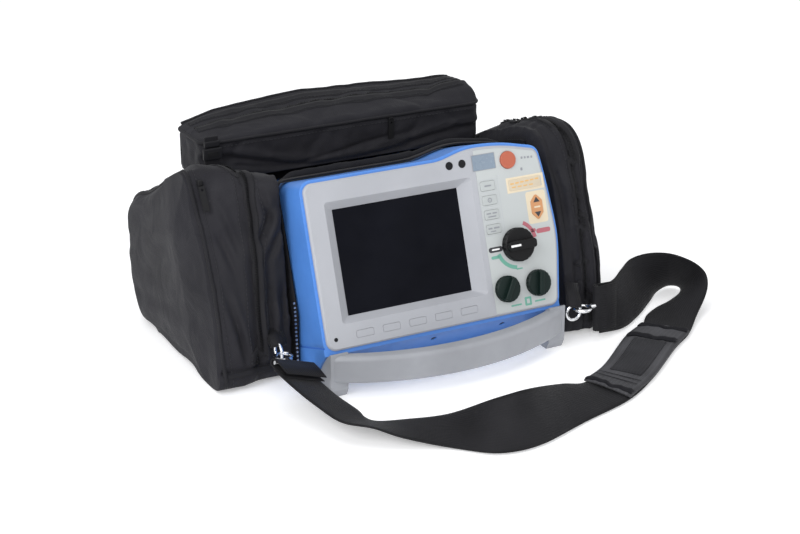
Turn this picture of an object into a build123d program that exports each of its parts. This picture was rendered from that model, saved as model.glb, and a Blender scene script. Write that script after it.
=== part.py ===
from build123d import *
import math
import os

os.makedirs("parts", exist_ok=True)

# ---------------------------------------------------------------- driving dimensions (mm)
LCD_W, LCD_H = 133.0, 100.0          # 6.5 inch 4:3 display, visible area
PANEL_TILT = 18.85                   # the front panel leans back by this many degrees
WALL = 3.0                           # moulded shell thickness
RIM = 3.0                            # blue case stands this far outside the bezel
CASE_BACK = 238.0                    # rear face of the case (row Y)
CASE_FOOT = 5.0                      # underside of the case (row Z)
BEZEL_T = 9.0                        # front face to display window
SELECTOR_R, SELECTOR_H = 16.5, 13.5
PACER_R, PACER_H = 13.0, 10.0
SHAFT_R = 3.0
RUN = 0.05                           # radial running clearance
SHOCK_R = 8.5
PRESS = 0.9                          # travel of the large buttons
KEY_PRESS = 0.8                      # travel of the small keys
ROLL_R, ROLL_L = 19.0, 84.0
PLATEN_R = 4.5
STRAP_T = 1.8
SLEEVE_T = 3.5
HANDLE_TOP, HANDLE_BOT = 42.5, 15.0

A = math.radians(PANEL_TILT)
PANEL = Plane(origin=(0, -8.52, 120.9), x_dir=(1, 0, 0), z_dir=(0, -math.cos(A), math.sin(A)))
PL = PANEL.location


def save(name, *solids):
    """Write one sub-part; several separate solids share a file as one compound."""
    out = []
    for s in solids:
        out.extend(list(s.solids()))
    shape = out[0] if len(out) == 1 else Compound(children=out)
    export_step(shape, f"parts/{name}.step")
    print(name, len(out), round(sum(o.volume for o in out), 1))


def box(x0, x1, y0, y1, z0, z1):
    return Pos((x0 + x1) / 2, (y0 + y1) / 2, (z0 + z1) / 2) * Box(abs(x1 - x0), abs(y1 - y0), abs(z1 - z0))


def cyl(x, y, z0, z1, r):
    return Pos(x, y, (z0 + z1) / 2) * Cylinder(r, abs(z1 - z0))


def slab(face, z0, z1):
    """Extrude a face drawn on XY between two heights."""
    return extrude(Pos(0, 0, z0) * face, z1 - z0, dir=(0, 0, 1))


def rrect(w, h, r):
    return RectangleRounded(w, h, r)


def rod(p, q, r):
    """Round bar between two points."""
    p, q = Vector(*p), Vector(*q)
    d = q - p
    return Plane(origin=p, z_dir=d).location * Pos(0, 0, d.length / 2) * Cylinder(r, d.length)


# ---------------------------------------------------------------- panel outline (panel frame u, v)
with BuildLine() as ln:
    Polyline((7, 77.5), (-129.5, 77.5), (-129.5, -79), (121.5, -79.5))
    Spline([(121.5, -79.5), (127.7, -37), (130.4, -7.5), (129.2, 12.5), (126.3, 43), (121.5, 75.0)])
    Spline([(121.5, 75.0), (92, 81.6), (62, 85.0), (42, 84.2), (24, 80.0), (7, 77.5)],
           tangents=[(-1, 0.18), (-1, 0)])
outline = make_face(ln.wires()[0].edges())
outline = fillet([v for v in outline.vertices() if abs(abs(v.X) - 125.5) < 6 and abs(v.Y) > 70], 9)


def ring(amount):
    """The panel outline moved outwards by an amount, with every curved run rebuilt as a plain spline."""
    if not amount:
        return outline
    edges = []
    for e in offset(outline, amount=amount).faces()[0].outer_wire().edges():
        if e.geom_type in (GeomType.LINE, GeomType.CIRCLE):
            edges.append(e)
        else:
            n = max(3, int(e.length / 6))
            edges.append(Edge.make_spline([e @ (i / n) for i in range(n + 1)], tangents=[e % 0, e % 1]))
    return Face(Wire(edges))


blue = ring(RIM)

# side profile that the case is trimmed to: flat underside, flat back, sloping chin
clip_o = Plane.YZ * make_face(Polyline((-2, CASE_FOOT), (CASE_BACK, CASE_FOOT), (CASE_BACK, 270), (-80, 270),
                                       (-80, 100.6), close=True))
clip_i = Plane.YZ * make_face(Polyline((-0.6, CASE_FOOT + WALL), (CASE_BACK - WALL, CASE_FOOT + WALL),
                                       (CASE_BACK - WALL, 270), (-80, 270), (-80, 105.2), close=True))
clip_o = Pos(-200, 0, 0) * extrude(clip_o, 400, dir=(1, 0, 0))
clip_i = Pos(-200, 0, 0) * extrude(clip_i, 400, dir=(1, 0, 0))

# ---------------------------------------------------------------- blue rear case and black top deck
outer = (PL * slab(blue, -300, -4)) & clip_o
outer += (PL * box(-132.4, 124.3, -160, -76, -300, -4.2)) & clip_o     # chin and belly below the bezel
inner = (PL * slab(outline, -300, -3.9)) & clip_i
inner += (PL * box(-129.4, 121.3, -160, -74, -300, -12.3)) & clip_i
inner += PL * slab(outline, -12.3, -3.9)
shell = outer - inner
DECK_V = 62.0
deck_cut = PL * box(-123, 117, DECK_V, 120, -150, -62)
deck_fit = PL * box(-122.85, 116.85, DECK_V + 0.1, 120, -149.85, -62.15)
rear_case = shell - deck_cut
deck = shell & deck_fit
deck -= PL * box(-113, -11, 60, 120, -140.3, -67.7)        # recorder door opening
deck -= PL * box(21, 109, 60, 120, -137, -75)              # battery opening
# sockets in the rear wall and screws through the chin
sock = [(-92, 34, 13.0), (84, 34, 9.5)]
for x, z, r in sock:
    rear_case -= Pos(x, CASE_BACK - 1, z) * Rot(90, 0, 0) * Cylinder(r, 10)
chin_dir = (0, -38 / 49.04, -31 / 49.04)
chin_screws = [(-14, -24.8, 32.9), (62, -24.8, 32.9)]
screw_heads = []
for x, y, z in chin_screws:
    pl = Plane(origin=(x, y, z), z_dir=chin_dir)
    rear_case -= pl.location * Pos(0, 0, -4) * Cylinder(3.0, 20)
    screw_heads.append(pl.location * (Pos(0, 0, -3.5) * Cylinder(2.9, 5) - Pos(0, 0, -1) * Box(3.4, 0.9, 2)))
rear_case = max(rear_case.solids(), key=lambda s: s.volume)
save("rear_case", rear_case)
save("top_deck", deck)

# ---------------------------------------------------------------- front bezel with sunk display opening
REC = (-111.4, 45.0, -56.0, 58.0)
WIN = (-34 - LCD_W / 2, -34 + LCD_W / 2, -LCD_H / 2, LCD_H / 2)


def rect_face(x0, x1, y0, y1, z, r):
    return Pos((x0 + x1) / 2, (y0 + y1) / 2, z) * rrect(x1 - x0, y1 - y0, r)


skirt = slab(outline, -4, 0)
skirt = chamfer(skirt.faces().sort_by(Axis.Z)[-1].outer_wire().edges(), 1.6)
bezel = skirt + slab(ring(-0.3), -12, -4)
bezel -= loft([rect_face(*REC, 0.01, 3), rect_face(*WIN, -BEZEL_T, 1.2)])
bezel -= Pos(-34, 0, -11) * Box(LCD_W, LCD_H, 6)
bezel -= box(-34 - 69, -34 + 69, -52.5, 52.5, -13, -BEZEL_T)            # window seat
hollow = slab(ring(-3.5), -13, -3)
hollow -= box(-116, 49.5, -62, 64, -14, 1)
bezel -= hollow

# keypad overlay: a thin printed sheet let into the right of the bezel
pad_face = ring(-2.6) & (Pos(95, 0) * Rectangle(88, 200))
pad_face = pad_face.faces()[0] if hasattr(pad_face, "faces") else pad_face
pad_cut = ring(-2.5) & (Pos(95, 0) * Rectangle(88.2, 200))
bezel -= slab(pad_cut.faces()[0], -0.5, 1)
overlay = slab(pad_face, -0.5, 0.12)

SEL, OUT, RATE = (84.0, -14.0), (65.6, -54.5), (100.6, -54.5)
SHOCK, CHARGE, ROCK = (87.6, 68.4), (102.6, 43.3), (112.6, 18.5)
STATUS = (61.0, 70.3)
LENS = [(23.6, 72.0), (37.6, 72.0)]
SENSOR = (-120.4, -68.7)
SIDE_KEYS = [(61.6, 47.0), (61.6, 33.0), (61.6, 19.0), (61.6, 5.0)]
SOFT_KEYS = [(-90.0 + 28 * i, -67.5) for i in range(5)]

holes = []
for x, y in (SEL, OUT, RATE):
    holes.append(cyl(x, y, -20, 2, SHAFT_R + 0.5))
holes.append(cyl(*SHOCK, -20, 2, SHOCK_R + 0.25))
holes.append(Pos(*CHARGE, -10) * extrude(rrect(36.5, 11.5, 2.2), 14))
lozenge = make_face(Polyline((0, 13), (6.5, 6), (6.5, -6), (0, -13), (-6.5, -6), (-6.5, 6), close=True))
lozenge = fillet(lozenge.vertices(), 2)
loz = Pos(*ROCK) * lozenge
holes.append(slab(offset(loz, amount=0.5), -8, 2))
holes.append(Pos(*STATUS, -2.2) * extrude(rrect(25, 15, 1.2), 6))
for x, y in SIDE_KEYS:
    holes.append(Pos(x, y, -10) * extrude(rrect(16.5, 9.5, 1.7), 14))
for h in holes:
    bezel -= h
    overlay -= h
for x, y in LENS:
    bezel -= cyl(x, y, -2, 2, 4.0)
bezel -= cyl(*SENSOR, -2, 2, 2.0)
for x, y in SOFT_KEYS:
    bezel -= Pos(x, y, -10) * extrude(rrect(18.5, 7.0, 1.7), 14)
bezel = max(bezel.solids(), key=lambda s: s.volume)
overlay = max(overlay.solids(), key=lambda s: s.volume)
save("front_bezel", PL * bezel)
save("keypad_overlay", PL * overlay)

save("display_window", PL * box(-34 - 68.8, -34 + 68.8, -52.3, 52.3, -10.8, -BEZEL_T - 0.02))
save("lcd_module", PL * (box(-34 - 72, -34 + 72, -55, 55, -20, -12.3)))
save("status_window", PL * (Pos(*STATUS, -2.2) * extrude(rrect(24.8, 14.8, 1.1), 2.5)))
save("indicator_lenses", *[PL * chamfer(cyl(x, y, -2, 0.4, 3.95).edges().group_by(Axis.Z)[-1], 0.3) for x, y in LENS],
     PL * cyl(*SENSOR, -2, 0.05, 1.95))

# ---------------------------------------------------------------- keys, buttons and knobs


def flanged(face, top, flange, stem):
    """A key cap with a wider flange that keeps it behind the panel, and a short stem."""
    return slab(face, -3.3, top) + slab(offset(face, amount=0.9), -4.3, -3.15) + stem


for i, (x, y) in enumerate(SIDE_KEYS, 1):
    f = Pos(x, y) * rrect(16, 9, 1.5)
    k = flanged(f, 0.55, 0.9, cyl(x, y, -5.4, -4.3, 1.5))
    k = fillet(k.faces().sort_by(Axis.Z)[-1].edges(), 0.35)
    save(f"side_key_{i}", PL * k)
for i, (x, y) in enumerate(SOFT_KEYS, 1):
    f = Pos(x, y) * rrect(18, 6.5, 1.5)
    k = flanged(f, 0.15, 0.9, cyl(x, y, -5.4, -4.3, 1.5))
    save(f"softkey_{i}", PL * k)
shock = cyl(*SHOCK, -3.3, 2.2, SHOCK_R) + cyl(*SHOCK, -4.3, -3.15, SHOCK_R + 1.2) + cyl(*SHOCK, -5.4, -4.3, 2)
shock = fillet(shock.faces().sort_by(Axis.Z)[-1].edges(), 0.9)
save("shock_button", PL * shock)
cf = Pos(*CHARGE) * rrect(36, 11, 2)
charge = flanged(cf, 0.7, 0.9, cyl(*CHARGE, -5.4, -4.3, 2))
charge = fillet(charge.faces().sort_by(Axis.Z)[-1].edges(), 0.4)
save("charge_button", PL * charge)
rocker = slab(loz, -3.2, 1.0)
rocker = fillet(rocker.faces().sort_by(Axis.Z)[-1].edges(), 0.5)
save("energy_rocker", PL * rocker)


def knob(x, y, r, h, z0, ridge_w, angle, rim=1.2):
    """Turned knob with a raised grip bar across it and a shaft behind."""
    k = cyl(x, y, z0, z0 + h * 0.55, r)
    k = chamfer(k.faces().sort_by(Axis.Z)[-1].edges(), rim)
    bar = Pos(x, y, z0) * Rot(0, 0, angle) * extrude(rrect(2 * r - 2.4, ridge_w, ridge_w * 0.35), h)
    bar = fillet(bar.faces().sort_by(Axis.Z)[-1].edges(), 0.9)
    k += bar
    for i in range(20):
        a = math.radians(18 * i + 9)
        k -= cyl(x + (r + 0.6) * math.cos(a), y + (r + 0.6) * math.sin(a), z0 + 1.2, z0 + h, 1.1)
    return k + cyl(x, y, -25.5, z0 + 1, SHAFT_R)


sel = knob(*SEL, SELECTOR_R, SELECTOR_H, 0.6, 9.0, 180)
sel -= box(SEL[0] - 14.2, SEL[0] - 3.0, SEL[1] - 1.1, SEL[1] + 1.1, SELECTOR_H + 0.1, SELECTOR_H + 2)
save("selector_knob", PL * sel)
save("selector_pointer", PL * box(SEL[0] - 14.1, SEL[0] - 3.1, SEL[1] - 1.0, SEL[1] + 1.0,
                                  SELECTOR_H + 0.12, SELECTOR_H + 0.8))
save("output_knob", PL * knob(*OUT, PACER_R, PACER_H, 0.6, 5.0, 60))
save("rate_knob", PL * knob(*RATE, PACER_R, PACER_H, 0.6, 5.0, 80))

# ---------------------------------------------------------------- electronics behind the panel
kb = box(51, 113, -72, 71.5, -9.2, -7.6)
for x, y in (SEL, OUT, RATE):
    kb -= cyl(x, y, -12, -5, SHAFT_R + 0.6)
kb2 = box(-104, 36, -71, -64, -9.2, -7.6)
save("key_boards", PL * kb, PL * kb2)
domes = [PL * cyl(x, y, -7.6, -6.4, 2.5) for x, y in SIDE_KEYS + [SHOCK, CHARGE,
         (ROCK[0], ROCK[1] + 8), (ROCK[0], ROCK[1] - 8)]]
soft_domes = [PL * cyl(x, y, -7.6, -6.4, 2.5) for x, y in SOFT_KEYS]
save("key_domes", *(domes + soft_domes))


def encoder(x, y, r, z1):
    return cyl(x, y, -28, z1, r) - cyl(x, y, -26, 0, SHAFT_R + RUN)


save("selector_switch", PL * encoder(*SEL, 11, -9.2))
save("knob_encoders", PL * encoder(*OUT, 8, -9.2), PL * encoder(*RATE, 8, -9.2))
frame_plate = box(-118, 118, -66, 70, -38.5, -37)
for x in (-90, -45, 0, 45, 90):
    frame_plate -= box(x - 12, x + 12, -50, 50, -40, -36)
frame_plate += box(-118, -116.5, -66, 62, -60, -37) + box(116.5, 118, -66, 62, -60, -37)
save("chassis_frame", PL * frame_plate)
save("main_board", PL * box(-112, 100, -58, 60, -43.6, -42))
chips = [(-80, 30, 14, 14), (-40, 30, 18, 18), (0, 28, 10, 16), (45, 25, 16, 10), (-70, -25, 20, 12), (-10, -25, 16, 16),
         (60, -20, 12, 12)]
save("board_chips", *[PL * (Pos(x, y, -45) * Box(w, h, 2.8)) for x, y, w, h in chips])

# recorder: cradle, roll on its spindle, platen roller
RV, RW = 52.0, -106.0
rec = box(-112, -12, 26, 77.2, -139.5, -68.5)
rec -= Pos(-62, RV, RW) * Rot(0, 90, 0) * Cylinder(ROLL_R + 1.6, 90)
rec -= box(-107, -17, RV, 90, RW - ROLL_R - 1.6, RW + ROLL_R + 1.6)
rec -= Pos(-62, 70.5, -76) * Rot(0, 90, 0) * Cylinder(PLATEN_R + 0.6, 90)
rec -= box(-107, -17, 70.5, 90, -76 - PLATEN_R - 0.6, -76 + PLATEN_R + 0.6)
rec -= box(-107, -17, 68, 90, -84.6, -76)
rec -= Pos(-62, RV, RW) * Rot(0, 90, 0) * Cylinder(4.0, 96)
rec -= Pos(-62, 70.5, -76) * Rot(0, 90, 0) * Cylinder(1.5 + RUN, 96)
save("recorder_module", PL * rec)
save("roll_spindle", PL * (Pos(-62, RV, RW) * Rot(0, 90, 0) * Cylinder(3.98, 95.6)))
roll = Pos(-62, RV, RW) * Rot(0, 90, 0) * (Cylinder(ROLL_R, ROLL_L) - Cylinder(3.98 + RUN, ROLL_L + 2))
save("paper_roll", PL * roll)
save("platen_roller", PL * (Pos(-62, 70.5, -76) * Rot(0, 90, 0) * (Cylinder(PLATEN_R, 86) + Cylinder(1.5, 95))))
door = shell & (PL * box(-112.7, -11.3, 60, 120, -139.9, -68.0))
door -= PL * box(-80, -44, 79.3, 90, -76.0, -72.5)           # finger ledge
save("recorder_door", door)

# battery in its well, drawn straight up out of the deck
B = (22.0, 108.0, -6.0, 79.5, -136.0, -76.0)
bat = box(*B)
bat = fillet(bat.edges().filter_by(Axis.Y), 3)
bat -= box(45, 85, B[3] - 9, B[3] + 1, -101, -86)              # finger grip
bat += box(45, 85, B[3] - 3, B[3], -101, -97.5)
save("battery_pack", PL * bat)
well = box(B[0] - 2.6, B[1] + 2.6, B[2] - 2.6, 76, B[4] - 2.6, B[5] + 2.6) - box(B[0] - 0.4, B[1] + 0.4, B[2] - 0.2, 90,
                                                                             B[4] - 0.4, B[5] + 0.4)
save("battery_well", PL * well)

# high-voltage section and power supply in the rear of the case
save("hv_board", PL * box(-110, 10, 18.0, 19.6, -214, -62))
cap = Pos(0, 0, 0) * Pos(-60, -8, -140) * Rot(0, 90, 0) * Cylinder(22, 92)
cap = fillet(cap.edges(), 1.5)
save("hv_capacitor", PL * cap)
save("power_supply", PL * box(18, 104, -40, -14, -150, -66))
save("speaker", PL * (cyl(-92, -30, -62, -50, 20) + cyl(-92, -30, -68, -62, 12)))
save("therapy_socket", Pos(sock[0][0], CASE_BACK - 5, sock[0][1]) * Rot(90, 0, 0) * (Cylinder(sock[0][2] - 0.05, 10) -
     Pos(0, 0, 4) * Cylinder(8, 6)))
save("mains_inlet", Pos(sock[1][0], CASE_BACK - 5, sock[1][1]) * Rot(90, 0, 0) * (Cylinder(sock[1][2] - 0.05, 10) -
     Pos(0, 0, 4) * Cylinder(6, 6)))

# ---------------------------------------------------------------- carry handle with its two feet
with BuildLine() as hl:
    ThreePointArc((-130, -37), (0, -72.5), (126, -37))
    Polyline((126, -37), (126, -20), (108, -20), (108, -32))
    ThreePointArc((108, -32), (0, -56), (-112, -32))
    Polyline((-112, -32), (-112, -20), (-130, -20), (-130, -37))
bar = make_face(hl.wires()[0].edges())
bar = fillet([v for v in bar.vertices() if abs(v.Y + 37) < 0.1], 12)
bar = slab(bar, HANDLE_BOT, HANDLE_TOP)
bar = fillet([e for e in bar.edges() if e.geom_type == GeomType.CIRCLE and e.center().Y < -36
              and e.length > 15 and abs(e.center().Z - 28) > 10], 4.5)


def foot(x0, x1):
    """Foot under each end of the handle: upright block with a raked underside."""
    prof = make_face(Polyline((-34.5, 0), (18, 0), (18, 4.7), (-2.3, 4.7), (-31.6, 40.6), (-34.7, 42.2), (-36.5, 44.5),
                              (-38.5, 44.5), (-38.5, 8), close=True))
    f = Pos(x0, 0, 0) * extrude(Plane.YZ * prof, x1 - x0, dir=(1, 0, 0))
    return f


bar -= clip_o & box(-140, 140, -60, 10, 0, 60)
handle = bar + foot(-130, -112) + foot(108, 126)
handle -= PL * slab(ring(RIM + 0.15), -300, 0.1)
handle = max(handle.solids(), key=lambda s: s.volume)
save("carry_handle", handle)
save("case_screws", *screw_heads)
feet = []
for x in (-104, 100):
    for y in (30, 222):
        feet.append(Pos(x, y, 4.35) * Cylinder(7, 1.3))
save("rubber_feet", *feet)

# ---------------------------------------------------------------- soft carry case around the device
XL, XR = -134.2, 134.2                       # inner faces of the side walls
ztop = 121.0


def front_y(z):
    """Front edge of the case walls: parallel to the panel, 44 mm behind it."""
    return -8.52 + 0.3231 * (z - 120.9 + 14.9) / 0.9464 + 43.5


wall_pts = [(20.5, 0), (20.5, 60), (front_y(60), 60), (front_y(186), 186), (165.6, 155.2), (238.2, 155.2), (238.2, 0)]
wall = Plane.YZ * make_face(Polyline(*wall_pts, close=True))
sleeve = Pos(XL - SLEEVE_T, 0, 0) * extrude(wall, SLEEVE_T, dir=(1, 0, 0))
sleeve += Pos(XR, 0, 0) * extrude(wall, SLEEVE_T, dir=(1, 0, 0))
sleeve += box(XL - SLEEVE_T, XR + SLEEVE_T, CASE_BACK + 0.2, CASE_BACK + 0.2 + SLEEVE_T, 0, 155.2)
sleeve += box(XL - SLEEVE_T, XR + SLEEVE_T, 20.5, CASE_BACK + 1, 0, 3.6)
sleeve += box(-109, 105, -14, 21, 0, 3.6)                    # tongue of the base panel between the handle feet
collar = (PL * slab(ring(RIM + 3.2), -60, -47)) - (PL * slab(ring(RIM + 0.15), -70, -30))
collar &= PL * box(-140, 140, 30, 120, -61, -46)
sleeve += collar
sleeve = max(sleeve.solids(), key=lambda s: s.volume)
save("case_sleeve", sleeve)


def lobed(sections):
    """Loft a padded pocket through scaled copies of its side profile."""
    faces = []
    for x, pts, s, (cy, cz) in sections:
        q = [(x, cy + (y - cy) * s, max(0.4, cz + (z - cz) * s)) for y, z in pts]
        faces.append(Face(Wire([Edge.make_spline([Vector(*p) for p in q], periodic=True)])))
    return Solid.make_loft([f.outer_wire() for f in faces], ruled=False)


LP = [(22, 0.4), (25, 45), (36, 90), (53, 134), (76, 172), (96, 197), (122, 193), (160, 172), (205, 147), (236, 128),
      (251, 102), (256, 74), (251, 44), (240, 17), (228, 0.4), (180, 0.4), (120, 0.4), (70, 0.4)]
RP = [(-24, 0.4), (-23, 40), (-10, 95), (8, 145), (22, 178), (38, 197), (60, 203), (88, 199), (125, 186), (168, 171),
      (206, 150), (230, 115), (240, 70), (236, 30), (228, 0.4), (180, 0.4), (120, 0.4), (60, 0.4), (10, 0.4)]


def pocket(pts, xs, scales, centre):
    body = lobed([(x, pts, s, centre) for x, s in zip(xs, scales)])
    return body


left = pocket(LP, [-138.0, -175.0, -205.0, -215.0, -224.0], [1.0, 1.0, 1.0, 0.97, 0.80], (140, 78))
left &= box(-240, -138.1, -60, 260, 0.4, 260)
right = pocket(RP, [138.0, 160.0, 178.0, 186.0, 192.0], [1.0, 1.0, 0.99, 0.95, 0.85], (105, 80))
right &= box(138.1, 240, -60, 260, 0.4, 260)
left = max(left.solids(), key=lambda s: s.volume)
right = max(right.solids(), key=lambda s: s.volume)

# pouch on top of the rear, open upwards, with a separate padded lid
PXL, PXR, PY0, PY1, PZ0, PZ1 = -168.0, 148.0, 166.4, 234.0, 155.4, 194.0
pouch = box(PXL, PXR, PY0, PY1, PZ0, PZ1) - box(PXL + 4, PXR - 4, PY0 + 4, PY1 - 4, PZ0 + 4, PZ1 + 1)
pouch = fillet(pouch.edges().filter_by(Axis.Z).filter_by(lambda e: e.center().X < PXL + 1 or e.center().X > PXR - 1), 12)
left -= box(PXL - 0.4, PXR, PY0 - 0.4, PY1 + 0.4, PZ0 - 0.4, 260)
right -= box(PXL, PXR + 0.4, PY0 - 0.4, PY1 + 0.4, PZ0 - 0.4, 260)
save("left_pocket", left)
save("right_pocket", right)
save("rear_pouch", pouch)


def arch(x0, x1, ze, zm, z0):
    """Flat-bottomed arch from x0 to x1: full over most of its length and dropping near the ends."""
    xm, h = (x0 + x1) / 2, (x1 - x0) / 2
    top = [(xm + h * t, ze + (zm - ze) * (1 - abs(t) ** 2.4)) for t in (1, 0.8, 0.55, 0.25, 0, -0.25, -0.55, -0.8, -1)]
    with BuildLine() as al:
        Line((x0, ze), (x0, z0))
        Line((x0, z0), (x1, z0))
        Line((x1, z0), (x1, ze))
        Spline(top)
    return make_face(al.wires()[0].edges())


fr = Plane(origin=(0, PY0, 0), x_dir=(1, 0, 0), z_dir=(0, -1, 0))
bk = Plane(origin=(0, PY1, 0), x_dir=(1, 0, 0), z_dir=(0, -1, 0))
fr2 = Plane(origin=(0, PY0 + 4, 0), x_dir=(1, 0, 0), z_dir=(0, -1, 0))
bk2 = Plane(origin=(0, PY1 - 4, 0), x_dir=(1, 0, 0), z_dir=(0, -1, 0))
lid = loft([fr * arch(PXL, PXR, 199, 202, PZ1 + 0.3), bk * arch(PXL, PXR, 203, 220, PZ1 + 0.3)])
lid -= loft([fr2 * arch(PXL + 4, PXR - 4, 195.5, 198.5, PZ1 - 1), bk2 * arch(PXL + 4, PXR - 4, 198.5, 215.5, PZ1 - 1)])
save("pouch_lid", lid)


def pull(length, w):
    """Zip pull: tab with a hole, lying in the YZ... plane of its slider, hanging down from the origin."""
    p = box(-w / 2, w / 2, -0.8, 0.8, -length, 0)
    p -= Pos(0, 0, -3.5) * Rot(90, 0, 0) * Cylinder(w * 0.22, 4)
    return p


ZL = (-203.5, 80.4, 185.2)
ZP = (40.0, PY0 - 1.6, PZ1 - 1.5)
save("zip_pull_left", Pos(*ZL) * Rot(-29.5, 0, 0) * pull(24, 6))
save("zip_pull_pouch", Pos(*ZP) * pull(20, 6))

# ---------------------------------------------------------------- rings, snap hooks and strap
DR = [((137.0, -37.5, 35.0), Rot(90, 0, 0)), ((-160.0, 12.0, 36.0), Rot(0, 90, 0))]
save("d_rings", *[Pos(*p) * rot * Torus(8.0, 1.6) for p, rot in DR])


def hook(centre, ax):
    """Snap hook: open wire loop, shank and cross bar for the webbing. ax points from the ring to the strap."""
    loop = Torus(8.0, 1.8)
    gate_gap = box(1.2, 8.0, 3.6, 12, -3, 3)
    loop -= gate_gap
    h = loop + rod((8.5, 0, 0), (17, 0, 0), 2.6)
    return Pos(*centre) * ax * h


HKR = ((147.4, -37.5, 37.0), Rot(0, 0, 0))
HKL = ((-160.0, 0.5, 35.0), Rot(0, 0, -90))
bar_r = rod((164.4, -39.0, 14), (164.4, -36.0, 57), 1.8)
bar_l = rod((-181, -26.0, 44), (-139, -15.6, 27), 1.8)
save("snap_hooks", hook(*HKR) + bar_r, hook(*HKL) + bar_l)
gate = rod((2.35, 7.5, 0), (6.15, 4.85, 0), 0.9)
save("hook_gate_right", Pos(*HKR[0]) * gate)
save("hook_gate_left", Pos(*HKL[0]) * Rot(0, 0, -90) * gate)

STRAP = [
    ((-184, -32, 40), (-141, -20, 22)),
    ((-179, -63, 34), (-134, -55, 14)),
    ((-170, -91, 26), (-125, -83, 8)),
    ((-161, -123, 22), (-124, -96, 6)),
    ((-140, -143, 20), (-116, -104, 4)),
    ((-118, -158, 12), (-95, -116, 6)),
    ((-81, -179, 3), (-59, -134, 11)),
    ((-50, -207, 2.5), (-38, -179, 41)),
    ((-9, -211, 2.5), (-7, -187, 47)),
    ((54, -190, 2.5), (56, -143, 19)),
    ((112, -172, 3), (94, -124, 4)),
    ((160, -143, 3), (128, -107, 5)),
    ((218, -98, 3), (183, -62, 5)),
    ((250, -77, 4), (218, -40, 4)),
    ((280, -50, 9), (240, -18, 3)),
    ((301, -34, 18), (262, -5, 3)),
    ((309, -27, 28), (281, 2, 3)),
    ((311, -20, 37), (301, 12, 3)),
    ((310, -8, 42), (313, 23, 3)),
    ((305, 8, 45), (315, 33, 3)),
    ((293, 22, 48), (306, 38, 3)),
    ((272, 28, 50), (286, 29, 3)),
    ((249, 26, 49), (262, 9, 3)),
    ((223, 6, 49), (230, -16, 3)),
    ((199, -15, 50), (200, -33, 3)),
    ((168.5, -35.0, 55), (168.5, -38.5, 6)),
]


def catmull(pts, per):
    """Smooth points through a list of corner points."""
    out = []
    for i in range(len(pts) - 1):
        p1, p2 = Vector(*pts[i]), Vector(*pts[i + 1])
        p0 = Vector(*pts[i - 1]) if i else p1 * 2 - p2
        p3 = Vector(*pts[i + 2]) if i + 2 < len(pts) else p2 * 2 - p1
        for k in range(per):
            t = k / per
            out.append((p1 * 2 + (p2 - p0) * t + (p0 * 2 - p1 * 5 + p2 * 4 - p3) * t ** 2
                        + (p1 * 3 - p0 - p2 * 3 + p3) * t ** 3) * 0.5)
    return out + [Vector(*pts[-1])]


def ribbon(stations, t, per=3):
    """Flat webbing of thickness t whose two edges run through the station points."""
    ea, eb = catmull([a for a, b in stations], per), catmull([b for a, b in stations], per)
    n = len(ea)
    wires = []
    for i in range(n):
        mid0 = (ea[max(0, i - 1)] + eb[max(0, i - 1)]) * 0.5
        mid1 = (ea[min(n - 1, i + 1)] + eb[min(n - 1, i + 1)]) * 0.5
        h = (eb[i] - ea[i]).cross(mid1 - mid0).normalized() * (t / 2)
        wires.append(Wire.make_polygon([ea[i] - h, eb[i] - h, eb[i] + h, ea[i] + h], close=True))
    return Solid.make_loft(wires, ruled=True)


def lerp(p, q, t):
    return tuple(p[i] + (q[i] - p[i]) * t for i in range(3))


strap = ribbon(STRAP, STRAP_T)
save("strap_webbing", strap)
pad_st = []
for a, b in STRAP[10:14]:
    a2, b2 = lerp(a, b, -0.12), lerp(a, b, 1.12)
    pad_st.append(((a2[0], a2[1], a2[2] + 5), (b2[0], b2[1], b2[2] + 5)))
save("shoulder_pad", ribbon(pad_st, 1.5, 4))
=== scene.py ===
import bpy, bmesh, math
import numpy as np
from mathutils import Vector, Matrix, noise
from mathutils.bvhtree import BVHTree


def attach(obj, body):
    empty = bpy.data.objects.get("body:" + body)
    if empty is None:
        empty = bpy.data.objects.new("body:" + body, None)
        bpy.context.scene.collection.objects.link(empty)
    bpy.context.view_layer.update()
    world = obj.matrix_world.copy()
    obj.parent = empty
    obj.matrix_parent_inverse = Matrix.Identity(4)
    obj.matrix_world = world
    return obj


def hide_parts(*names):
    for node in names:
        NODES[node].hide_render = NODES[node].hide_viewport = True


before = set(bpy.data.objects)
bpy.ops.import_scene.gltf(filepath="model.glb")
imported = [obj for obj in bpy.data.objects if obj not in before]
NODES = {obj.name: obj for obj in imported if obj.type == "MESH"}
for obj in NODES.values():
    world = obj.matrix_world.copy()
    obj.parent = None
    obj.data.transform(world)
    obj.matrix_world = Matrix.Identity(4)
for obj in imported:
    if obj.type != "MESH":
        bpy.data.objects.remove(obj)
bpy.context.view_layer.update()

SC = bpy.context.scene
TILT = math.radians(18.85)
C_, S_ = math.cos(TILT), math.sin(TILT)


def P(u, v, w=0.0):
    """Panel frame (mm) to row frame (m)."""
    return Vector((u, -8.52 + S_ * v - C_ * w, 120.9 + C_ * v + S_ * w)) * 0.001


def mm(x, y, z):
    return Vector((x, y, z)) * 0.001


# ------------------------------------------------------------------ materials
def new_mat(name):
    m = bpy.data.materials.new(name)
    m.use_nodes = True
    nt = m.node_tree
    nt.nodes.clear()
    out = nt.nodes.new("ShaderNodeOutputMaterial")
    b = nt.nodes.new("ShaderNodeBsdfPrincipled")
    nt.links.new(b.outputs[0], out.inputs[0])
    return m, nt, b


def N_(nt, kind, **kw):
    n = nt.nodes.new(kind)
    for k, v in kw.items():
        if k.startswith("i_"):
            n.inputs[k[2:].replace("_", " ")].default_value = v
        else:
            setattr(n, k, v)
    return n


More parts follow.
